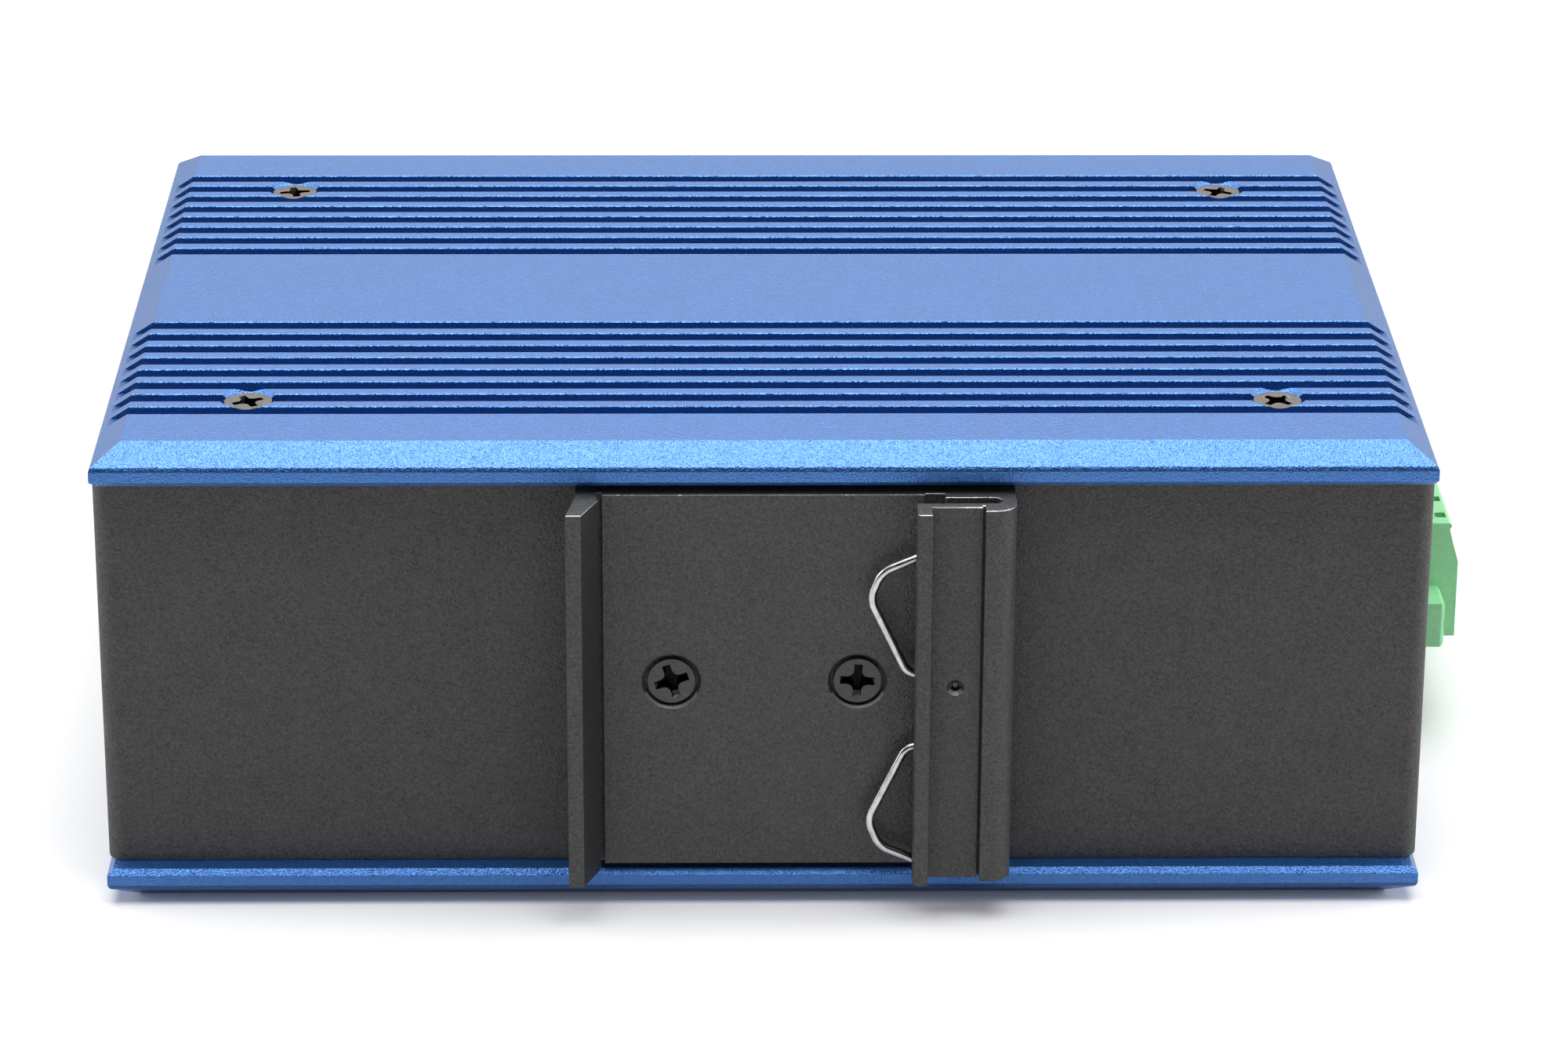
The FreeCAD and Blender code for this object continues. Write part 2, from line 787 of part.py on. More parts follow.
def port_rows():
    """Centre height of each row's body and which way its latch points."""
    low = board_top + latch_margin + latch_slot + latch_step + port_body / 2
    high = board_top + jack_height - latch_margin - latch_slot - latch_step - port_body / 2
    return [(low, -1), (high, 1)]


def port_centres():
    first = jack_centre_x - (port_columns - 1) * port_pitch / 2
    places = []
    for column in range(port_columns):
        for z, latch in port_rows():
            places.append((first + column * port_pitch, z, latch))
    return places


def port_shape(x, z, latch, grow, rear, front):
    """Socket opening: a wide body with two steps for the plug's latch."""
    steps = [
        (port_width / 2 + grow, -port_body / 2 - grow),
        (port_width / 2 + grow, port_body / 2 + grow),
        (latch_step_width / 2 + grow, port_body / 2 + grow),
        (latch_step_width / 2 + grow, port_body / 2 + latch_step + grow),
        (latch_slot_width / 2 + grow, port_body / 2 + latch_step + grow),
        (latch_slot_width / 2 + grow, port_body / 2 + latch_step + latch_slot + grow),
    ]
    outline = steps + [(-across, up) for across, up in reversed(steps)]
    points = [Vector(x + across, rear, z + latch * up) for across, up in outline]
    return face_of(points).extrude(Vector(0, front - rear, 0))


def make_rj45_housing():
    """Moulded block with two rows of socket openings."""
    half = jack_width / 2
    block = box(jack_centre_x - half, jack_centre_x + half, jack_back, jack_front - shield_wall,
                board_top, board_top + jack_height)
    rear = jack_front - port_depth
    ports = [port_shape(x, z, latch, 0, rear, jack_front) for x, z, latch in port_centres()]
    return block.cut(ports)


def make_rj45_shield():
    """Tinned sheet folded round the block, with a window at each socket."""
    half = jack_width / 2
    top = board_top + jack_height
    outer = box(jack_centre_x - half - shield_wall, jack_centre_x + half + shield_wall,
                jack_back - shield_wall, jack_front, board_top, top + shield_wall)
    window_rear = jack_front - shield_wall
    inner = box(jack_centre_x - half, jack_centre_x + half, jack_back, window_rear, board_top, top)
    windows = [port_shape(x, z, latch, 0, window_rear, jack_front) for x, z, latch in port_centres()]
    return outer.cut([inner] + windows)


def make_rj45_contacts():
    """Eight springy contacts in each socket, tapered strips on the side away from its latch."""
    front = jack_front - contact_front
    rear = front - contact_run
    contacts = []
    for x, z, latch in port_centres():
        base = z - latch * port_body / 2
        rise = latch * contact_rise
        slab = latch * contact_thickness
        outline = [(front, 0), (rear, rise - slab), (rear, rise)]
        for index in range(contact_count):
            left = x + (index - (contact_count - 1) / 2) * contact_pitch - contact_width / 2
            points = [Vector(left, y, base + up) for y, up in outline]
            contacts.append(face_of(points).extrude(Vector(contact_width, 0, 0)))
    return Part.makeCompound(contacts)


def make_sfp_cage(x):
    """Sheet cage, open at the front and above the board where its socket stands."""
    half = cage_width / 2
    top = board_top + cage_height
    outer = box(x - half, x + half, cage_back, cage_front, board_top, top)
    inner = box(x - half + cage_wall, x + half - cage_wall, cage_back + cage_wall, cage_front,
                board_top + cage_wall, top - cage_wall)
    well = box(x - half + cage_wall, x + half - cage_wall, cage_back + cage_wall,
               cage_back + socket_well, board_top, board_top + cage_wall)
    return outer.cut([inner, well])


def make_sfp_socket(x):
    """Card-edge socket on the board at the back of its cage."""
    rear = cage_back + 2 * cage_wall
    front = rear + socket_depth
    body = box(x - socket_width / 2, x + socket_width / 2, rear, front, board_top, board_top + socket_height)
    middle = board_top + socket_height / 2
    inset = (cage_width - socket_width) / 2
    slot = box(x - socket_width / 2 + inset, x + socket_width / 2 - inset, front - socket_slot_depth, front,
               middle - socket_slot_height / 2, middle + socket_slot_height / 2)
    return body.cut(slot)


def light_frame_back():
    return front_y - sheet - fit_gap - light_frame_thickness


def make_light_pipe():
    """Clear frame behind the panel with a bar for each status light; it stands on the board."""
    xs = [x for x, z in light_places()]
    zs = [z for x, z in light_places()]
    front = front_y - sheet - fit_gap
    frame = box(min(xs) - light_edge, max(xs) + light_edge, light_frame_back(), front,
                board_top, max(zs) + light_edge)
    bars = []
    for x, z in light_places():
        bars.append(light_window(x, z, 0, front, front_y + light_proud))
    return frame.fuse(bars)


def make_status_leds():
    """Lamps on the back of the light frame, one behind each light."""
    rear = light_frame_back()
    half = lamp_size / 2
    lamps = [box(x - half, x + half, rear - half, rear, z - half, z + half) for x, z in light_places()]
    return Part.makeCompound(lamps)


def header_pin(y):
    """Square pin, bent once: forward into the header's cavity and down through the board."""
    half = pin_size / 2
    tip = wall_x - pin_tip_gap
    level = pin_axis_z
    forward = box(leg_x() - half, tip, y - half, y + half, level - half, level + half)
    leg = box(leg_x() - half, leg_x() + half, y - half, y + half, board_bottom - pin_drop, level)
    return forward.fuse(leg).removeSplitter()


def make_header_pins():
    return Part.makeCompound([header_pin(y) for y in pole_centres()])


def cavity_box(gap, start):
    """Space inside the header's shroud, less a gap at its sides and top."""
    half = terminal_half - header_wall - gap
    return box(start, wall_x, terminal_centre_y - half, terminal_centre_y + half,
               board_top + header_floor, board_top + header_height - header_wall - gap)


def make_terminal_header():
    """Moulded shroud with an ear at each end; its face is flush with the end wall."""
    half = terminal_half + header_ear
    body = box(header_back, wall_x, terminal_centre_y - half, terminal_centre_y + half,
               board_top, board_top + header_height)
    cuts = [cavity_box(0, wall_x - header_cavity_depth)]
    cuts += [header_pin(y) for y in pole_centres()]
    return body.cut(cuts)


def clamp_x():
    return wall_x + plug_reach - well_from_front


def clamp_cage(y):
    """Wire clamp of one pole, a square sleeve open along X."""
    half_x = cage_clamp_length / 2
    half_y = cage_clamp_width / 2
    low = plug_bottom + entry_low - cage_clamp_wall
    top = low + cage_clamp_height
    outer = box(clamp_x() - half_x, clamp_x() + half_x, y - half_y, y + half_y, low, top)
    inner = box(clamp_x() - half_x, clamp_x() + half_x, y - half_y + cage_clamp_wall,
                y + half_y - cage_clamp_wall, low + cage_clamp_wall, top - 2 * cage_clamp_wall)
    return outer.cut(inner)


def make_clamp_cages():
    return Part.makeCompound([clamp_cage(y) for y in pole_centres()])


def make_terminal_plug():
    """Plug-in wire terminal: its nose rests on the header's floor, with an ear at each end."""
    reach = wall_x + plug_reach
    start_y = terminal_centre_y - terminal_half
    end_y = terminal_centre_y + terminal_half
    outline = [
        (plug_back, plug_bottom),
        (reach, plug_bottom),
        (reach, plug_bottom + plug_shoulder),
        (reach - plug_lean, plug_top - plug_brow_height),
        (reach - plug_lean + plug_brow, plug_top - plug_brow_height + plug_brow),
        (reach - plug_lean + plug_brow, plug_top - plug_brow),
        (reach - plug_lean, plug_top),
        (plug_back, plug_top),
    ]
    body = face_of([Vector(x, start_y, z) for x, z in outline]).extrude(Vector(0, end_y - start_y, 0))
    ears = []
    for side in (-1, 1):
        near = terminal_centre_y + side * terminal_half
        far = terminal_centre_y + side * (terminal_half + header_ear)
        ear = box(plug_back, wall_x + ear_reach, min(near, far), max(near, far),
                  ear_middle_z - ear_height / 2, ear_middle_z + ear_height / 2)
        outer_edges = [edge for edge in ear.Edges if edge.BoundBox.XMin > wall_x + ear_reach - ear_bevel]
        ears.append(ear.makeChamfer(ear_bevel, outer_edges))
    nose = cavity_box(plug_gap, wall_x - header_cavity_depth + plug_gap)
    bridge = box(wall_x - opening_gap, plug_back, nose.BoundBox.YMin, nose.BoundBox.YMax,
                 nose.BoundBox.ZMin, nose.BoundBox.ZMax)
    plug = body.fuse(ears + [nose, bridge]).removeSplitter()

    cuts = []
    pin_half = pin_size / 2 + plug_gap
    clamp_low = plug_bottom + entry_low - cage_clamp_wall
    clamp_top = clamp_low + cage_clamp_height + cage_clamp_wall / 2
    half_x = cage_clamp_length / 2 + cage_clamp_gap
    half_y = cage_clamp_width / 2 + cage_clamp_gap
    brow_x = reach - plug_lean - test_window_from_brow
    for y in pole_centres():
        cuts.append(box(wall_x - header_cavity_depth, wall_x, y - pin_half, y + pin_half,
                        pin_axis_z - pin_half, pin_axis_z + pin_half))
        cuts.append(box(clamp_x() - half_x, clamp_x() + half_x, y - half_y, y + half_y, clamp_low, clamp_top))
        cuts.append(box(clamp_x(), reach, y - entry_width / 2, y + entry_width / 2,
                        plug_bottom + entry_low, plug_bottom + entry_low + entry_height))
        cuts.append(prism(well_sides, well_width, Vector(clamp_x(), y, clamp_top), plug_top - clamp_top))
        cuts.append(box(brow_x, brow_x + test_window_x, y - test_window_y / 2, y + test_window_y / 2,
                        plug_top - test_window_depth, plug_top))
    return plug.cut(cuts)


def block_on_board(x, y, size_x, size_y, height):
    return box(x - size_x / 2, x + size_x / 2, y - size_y / 2, y + size_y / 2, board_top, board_top + height)


def make_switch_chip():
    return block_on_board(chip_x, chip_y, chip_side, chip_side, chip_height)


def make_heat_sink():
    """Extruded sink on the switch chip, its fins along Y."""
    low = board_top + chip_height
    half = sink_side / 2
    sink = box(chip_x - half, chip_x + half, chip_y - half, chip_y + half, low, low + sink_height)
    pitch = (sink_side - sink_fin) / (sink_fins - 1)
    gaps = []
    for index in range(sink_fins - 1):
        left = chip_x - half + sink_fin + index * pitch
        gaps.append(box(left, left + pitch - sink_fin, chip_y - half, chip_y + half,
                        low + sink_base, low + sink_height))
    return sink.cut(gaps)


def make_port_magnetics():
    """One isolating transformer block behind each column of sockets."""
    y = magnetics_back + magnetics_length / 2
    first = jack_centre_x - (port_columns - 1) * port_pitch / 2
    blocks = []
    for column in range(port_columns):
        x = first + column * port_pitch
        blocks.append(block_on_board(x, y, magnetics_width, magnetics_length, magnetics_height))
    return Part.makeCompound(blocks)


def poe_chip_places():
    return [(poe_chip_x + index * poe_chip_pitch, poe_chip_y) for index in range(poe_chip_count)]


def make_poe_chips():
    chips = [block_on_board(x, y, poe_chip_side, poe_chip_side, poe_chip_height)
             for x, y in poe_chip_places()]
    return Part.makeCompound(chips)


def make_thermal_pads():
    """Soft pads from the board's underside to the lower cover, under each hot chip."""
    pads = []
    cooled = [(chip_x, chip_y, chip_side)] + [(x, y, poe_chip_side) for x, y in poe_chip_places()]
    for x, y, side in cooled:
        half = side / 2 + pad_margin
        pads.append(box(x - half, x + half, y - half, y + half, chassis_floor, board_bottom))
    return Part.makeCompound(pads)


def make_bulk_capacitors():
    """Upright electrolytic cans."""
    y = inner_back_y + capacitor_rear_gap + capacitor_diameter / 2
    feet = [Vector(x, y, board_top) for x in capacitor_xs]
    cans = [prism(capacitor_sides, capacitor_diameter, foot, capacitor_height) for foot in feet]
    return Part.makeCompound(cans)


def make_power_inductors():
    """Shielded inductors with cut corners."""
    half = inductor_side / 2
    cut = half - inductor_corner
    outline = [(-cut, -half), (cut, -half), (half, -cut), (half, cut)]
    outline += [(-across, -along) for across, along in outline]
    y = inner_back_y + inductor_rear_gap + half
    coils = []
    for x in inductor_xs:
        points = [Vector(x + across, y + along, board_top) for across, along in outline]
        coils.append(face_of(points).extrude(Vector(0, 0, inductor_height)))
    return Part.makeCompound(coils)


def make_alarm_relay():
    relay = block_on_board(relay_x, relay_y, relay_length, relay_width, relay_height)
    top_edges = [edge for edge in relay.Edges if edge.BoundBox.ZMin > board_top + relay_height - relay_edge]
    return relay.makeChamfer(relay_edge, top_edges)


def save(name, shape):
    if not shape.isValid():
        print("not valid:", name)
    shape.exportStep(os.path.join("parts", name + ".step"))


def main():
    os.makedirs("parts", exist_ok=True)
    save("top_cover", placed(make_top_cover(), Vector(0, 0, chassis_roof), Vector(0, 0, 1)))
    lower = make_bottom_cover()
    lower.rotate(Vector(0, 0, 0), Vector(1, 0, 0), 180)
    lower.translate(Vector(0, 0, chassis_floor))
    save("bottom_cover", lower)
    save("chassis_wrap", make_chassis_wrap())
    save("front_panel", make_front_panel())
    save("top_cover_screws", make_top_cover_screws())
    save("din_clip", make_din_clip())
    save("clip_spring", make_clip_spring())
    save("spring_pin", make_spring_pin())
    save("clip_screws", make_clip_screws())
    save("earth_screw", make_earth_screw())
    save("main_board", make_main_board())
    save("board_standoffs", make_board_standoffs())
    save("rj45_housing", make_rj45_housing())
    save("rj45_shield", make_rj45_shield())
    save("rj45_contacts", make_rj45_contacts())
    for number, x in enumerate(cage_centres(), start=1):
        save("sfp_cage_%d" % number, make_sfp_cage(x))
        save("sfp_socket_%d" % number, make_sfp_socket(x))
    save("light_pipe", make_light_pipe())
    save("status_leds", make_status_leds())
    save("terminal_header", make_terminal_header())
    save("header_pins", make_header_pins())
    save("terminal_plug", make_terminal_plug())
    save("clamp_cages", make_clamp_cages())
    save("switch_chip", make_switch_chip())
    save("heat_sink", make_heat_sink())
    save("poe_chips", make_poe_chips())
    save("thermal_pads", make_thermal_pads())
    save("port_magnetics", make_port_magnetics())
    save("bulk_capacitors", make_bulk_capacitors())
    save("power_inductors", make_power_inductors())
    save("alarm_relay", make_alarm_relay())


main()
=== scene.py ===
import bpy
import json
import math
from mathutils import Matrix, Vector

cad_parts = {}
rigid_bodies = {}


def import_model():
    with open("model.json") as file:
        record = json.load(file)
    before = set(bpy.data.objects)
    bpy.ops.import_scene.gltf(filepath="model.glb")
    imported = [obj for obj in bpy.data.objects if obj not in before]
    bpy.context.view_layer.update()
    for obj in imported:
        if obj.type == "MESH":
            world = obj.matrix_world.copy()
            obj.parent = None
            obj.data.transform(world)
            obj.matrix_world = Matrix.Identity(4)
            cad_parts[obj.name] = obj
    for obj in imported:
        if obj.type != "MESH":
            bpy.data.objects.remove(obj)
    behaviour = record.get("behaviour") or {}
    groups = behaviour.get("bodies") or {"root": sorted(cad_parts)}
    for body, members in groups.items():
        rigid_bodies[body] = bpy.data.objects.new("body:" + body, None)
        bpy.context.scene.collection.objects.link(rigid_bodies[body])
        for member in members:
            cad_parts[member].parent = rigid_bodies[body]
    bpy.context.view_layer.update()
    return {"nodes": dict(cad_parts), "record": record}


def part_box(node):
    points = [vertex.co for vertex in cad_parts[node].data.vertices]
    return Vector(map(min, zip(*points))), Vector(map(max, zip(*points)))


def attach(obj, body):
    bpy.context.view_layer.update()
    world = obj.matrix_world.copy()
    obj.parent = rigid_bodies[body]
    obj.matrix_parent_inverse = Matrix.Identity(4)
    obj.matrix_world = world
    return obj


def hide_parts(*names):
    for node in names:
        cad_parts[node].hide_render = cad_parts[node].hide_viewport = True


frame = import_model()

nodes = frame["nodes"]
mm = 0.001


# helpers for colours, nodes and pieces

def hexColour(text):
    channels = [int(text[i:i + 2], 16) / 255 for i in (1, 3, 5)]
    linear = [c / 12.92 if c <= 0.04045 else ((c + 0.055) / 1.055) ** 2.4 for c in channels]
    return (*linear, 1.0)


def addNode(tree, kind, settings=None, links=None):
    # settings hold attributes and input values, links go from an input's name to a socket
    node = tree.nodes.new(kind)
    for key, value in (settings or {}).items():
        if isinstance(key, str) and hasattr(node, key):
            setattr(node, key, value)
        else:
            node.inputs[key].default_value = value
    for key, socket in (links or {}).items():
        tree.links.new(socket, node.inputs[key])
    return node


def newMaterial(name, settings):
    material = bpy.data.materials.new(name)
    material.use_nodes = True
    shader = material.node_tree.nodes["Principled BSDF"]
    for key, value in settings.items():
        shader.inputs[key].default_value = value
    return material, material.node_tree, shader


def activate(piece):
    if bpy.context.mode != "OBJECT":
        bpy.ops.object.mode_set(mode="OBJECT")
    bpy.ops.object.select_all(action="DESELECT")
    piece.select_set(True)
    bpy.context.view_layer.objects.active = piece


def objectMode():
    bpy.ops.object.mode_set(mode="OBJECT")


def editMode(kind="FACE"):
    bpy.ops.object.mode_set(mode="EDIT")
    bpy.ops.mesh.select_mode(type=kind)


def selectNone(piece):
    activate(piece)
    editMode()
    bpy.ops.mesh.select_all(action="DESELECT")
    objectMode()


def selectFaces(piece, test):
    # picks faces by their centre in mm and their normal, then goes to edit mode
    selectNone(piece)
    for face in piece.data.polygons:
        face.select = test(face.center / mm, face.normal)
    editMode()


def selectEdges(piece, test):
    # picks edges by their two ends in mm, then goes to edit mode
    selectNone(piece)
    points = [vertex.co / mm for vertex in piece.data.vertices]
    editMode("EDGE")
    objectMode()
    for edge in piece.data.edges:
        edge.select = test(points[edge.vertices[0]], points[edge.vertices[1]])
    editMode("EDGE")


def bakeTransform(piece):
    activate(piece)
    bpy.ops.object.transform_apply(location=True, rotation=True, scale=True)


def addBlock(name, low, high):
    # low and high corners in mm
    middle = [(a + b) / 2 * mm for a, b in zip(low, high)]
    bpy.ops.mesh.primitive_cube_add(size=1, location=middle)
    block = bpy.context.active_object
    block.name = name
    block.scale = [(b - a) * mm for a, b in zip(low, high)]
    bakeTransform(block)
    return block


def addRod(name, diameterMm, lowMm, highMm, sides=64):
    # upright cylinder at the origin
    middle = (0, 0, (lowMm + highMm) / 2 * mm)
    bpy.ops.mesh.primitive_cylinder_add(vertices=sides, radius=diameterMm / 2 * mm,
                                        depth=(highMm - lowMm) * mm, location=middle)
    rod = bpy.context.active_object
    rod.name = name
    bakeTransform(rod)
    return rod


def applyModifier(piece, kind, **settings):
    activate(piece)
    modifier = piece.modifiers.new(kind.lower(), kind)
    for key, value in settings.items():
        setattr(modifier, key, value)
    bpy.ops.object.modifier_apply(modifier=modifier.name)


def cutWith(piece, cutter, operation="DIFFERENCE"):
    applyModifier(piece, "BOOLEAN", operation=operation, object=cutter, solver="EXACT")
    bpy.data.objects.remove(cutter)


def smooth(piece, degrees=30):
    activate(piece)
    bpy.ops.object.shade_smooth_by_angle(angle=math.radians(degrees))
    applyModifier(piece, "WEIGHTED_NORMAL", keep_sharp=True)


def breakEdges(piece, widthMm, degrees=28):
    applyModifier(piece, "BEVEL", width=widthMm * mm, segments=2, limit_method="ANGLE",
                  angle_limit=math.radians(degrees), use_clamp_overlap=False)


def breakLongEdges(piece, widthMm, shortestMm):
    # rounds sharp edges that are long enough, so small holes keep their form
    activate(piece)
    editMode("EDGE")
    bpy.ops.mesh.select_all(action="DESELECT")
    bpy.ops.mesh.edges_select_sharp(sharpness=math.radians(28))
    objectMode()
    points = [vertex.co for vertex in piece.data.vertices]
    for edge in piece.data.edges:
        start, end = (points[index] for index in edge.vertices)
        edge.select = edge.select and (end - start).length > shortestMm * mm
    editMode("EDGE")
    bpy.ops.mesh.bevel(offset=widthMm * mm, segments=2, affect="EDGES")
    objectMode()


def markFaces(piece, attributeName, test, amount=1.0):
    # writes a number on faces picked by their centre in mm and their normal, which a material can read
    attribute = piece.data.attributes.new(attributeName, "FLOAT", "FACE")
    for face in piece.data.polygons:
        attribute.data[face.index].value = amount * test(face.center / mm, face.normal)


def makeFunnelCutter(boreMm, mouthMm, lipMm, depthMm, sides=64):
    # a bore that widens to its mouth at height 0
    funnel = addRod("funnelCutter", boreMm, -depthMm, -lipMm, sides)
    selectFaces(funnel, lambda centre, normal: normal.z > 0.9)
    bpy.ops.mesh.extrude_region_move(TRANSFORM_OT_translate={"value": (0, 0, lipMm * mm)})
    bpy.ops.transform.resize(value=(mouthMm / boreMm, mouthMm / boreMm, 1))
    bpy.ops.mesh.extrude_region_move(TRANSFORM_OT_translate={"value": (0, 0, 1.0 * mm)})
    objectMode()
    return funnel


def placeAt(piece, matrix):
    # puts the place into the mesh and leaves the object at the origin
    piece.matrix_world = matrix
    bakeTransform(piece)


def facing(place, outward, spin=0.0):
    turn = Vector((0, 0, 1)).rotation_difference(Vector(outward)).to_matrix().to_4x4()
    return Matrix.Translation(Vector(place) * mm) @ turn @ Matrix.Rotation(math.radians(spin), 4, "Z")


def copiesAt(pattern, places, name):
    # one pattern piece, copied to each place and joined into one piece
    copies = []
    for matrix in places:
        copy = pattern.copy()
        copy.data = pattern.data.copy()
        bpy.context.collection.objects.link(copy)
        placeAt(copy, matrix)
        copies.append(copy)
    bpy.data.objects.remove(pattern)
    activate(copies[0])
    for copy in copies:
        copy.select_set(True)
    if len(copies) > 1:
        bpy.ops.object.join()
    copies[0].name = name
    return copies[0]


def finishPiece(piece, slotName, *replaced):
    piece.data.materials.clear()
    piece.data.materials.append(materials[slotName])
    if replaced:
        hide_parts(*replaced)
    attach(piece, "root")


def boxOf(nodeName):
    # corners of a CAD node in mm
    low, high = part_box(nodeName)
    return Vector(low) / mm, Vector(high) / mm


# materials

def noiseOf(tree, place, sizeMm, seed=0.0, detail=2.0):
    return addNode(tree, "ShaderNodeTexNoise",
                   {"noise_dimensions": "4D", "W": seed, "Scale": 1 / (sizeMm * mm), "Detail": detail},
                   {"Vector": place.outputs["Object"]}).outputs["Fac"]


def spreadOver(tree, noise, low, high):
    # noise lies mostly between 0.3 and 0.7
    spread = addNode(tree, "ShaderNodeMapRange", {
        "From Min": 0.3, "From Max": 0.7, "To Min": low, "To Max": high}, {"Value": noise})
    return spread.outputs[0]


# painted shade: what a face marked as a recess fades to, a near-black colour with dull specular
paintedShadeLook = {"colour": "#060606", "plainShine": 0.5, "shine": 0.08}


def dressShader(tree, shader, look):
    # look: two colours and their patch, two roughnesses and their patch, grain size and height, all in mm
    place = addNode(tree, "ShaderNodeTexCoord")
    patches = spreadOver(tree, noiseOf(tree, place, look["patch"], 1.0), 0.0, 1.0)
    colour = addNode(tree, "ShaderNodeMix", {"data_type": "RGBA"}, {0: patches})
    colour.inputs[6].default_value = hexColour(look["colours"][0])
    colour.inputs[7].default_value = hexColour(look["colours"][1])
    # painted shade: faces marked as a recess fade to a near-black colour and lose most of their specular and
    # their coat
    shadeMark = addNode(tree, "ShaderNodeAttribute", {"attribute_name": "recess"})
    shadedColour = addNode(tree, "ShaderNodeMix", {"data_type": "RGBA", 7: hexColour(paintedShadeLook["colour"])},
                     {0: shadeMark.outputs["Fac"], 6: colour.outputs[2]})
    shine = addNode(tree, "ShaderNodeMapRange", {
        "To Min": paintedShadeLook["plainShine"], "To Max": paintedShadeLook["shine"]},
        {"Value": shadeMark.outputs["Fac"]})
    tree.links.new(shine.outputs[0], shader.inputs["Specular IOR Level"])
    shown = shadedColour
    # painted glint: marked faces turn to a bright grey metal where a look gives that colour
    if look.get("paintedGlint"):
        glintMark = addNode(tree, "ShaderNodeAttribute", {"attribute_name": "paintedGlint"})
        shown = addNode(tree, "ShaderNodeMix", {"data_type": "RGBA", 7: hexColour(look["paintedGlint"])},
                        {0: glintMark.outputs["Fac"], 6: shadedColour.outputs[2]})
        tree.links.new(glintMark.outputs["Fac"], shader.inputs["Metallic"])
    tree.links.new(shown.outputs[2], shader.inputs["Base Color"])
    wear = noiseOf(tree, place, look["wear"], 2.0)
    tree.links.new(spreadOver(tree, wear, *look["roughness"]), shader.inputs["Roughness"])
    bump = addNode(tree, "ShaderNodeBump", {"Strength": 1.0, "Distance": look["height"] * mm},
                   {"Height": noiseOf(tree, place, look["grain"], 3.0, 1.0)})
    tree.links.new(bump.outputs["Normal"], shader.inputs["Normal"])
    if look.get("coat"):
        tree.links.new(bump.outputs["Normal"], shader.inputs["Coat Normal"])
        # painted shade: the coat fades away on faces marked as a recess
        film = addNode(tree, "ShaderNodeMapRange", {"To Min": 1.0, "To Max": 0.0},
                       {"Value": shadeMark.outputs["Fac"]})
        tree.links.new(film.outputs[0], shader.inputs["Coat Weight"])


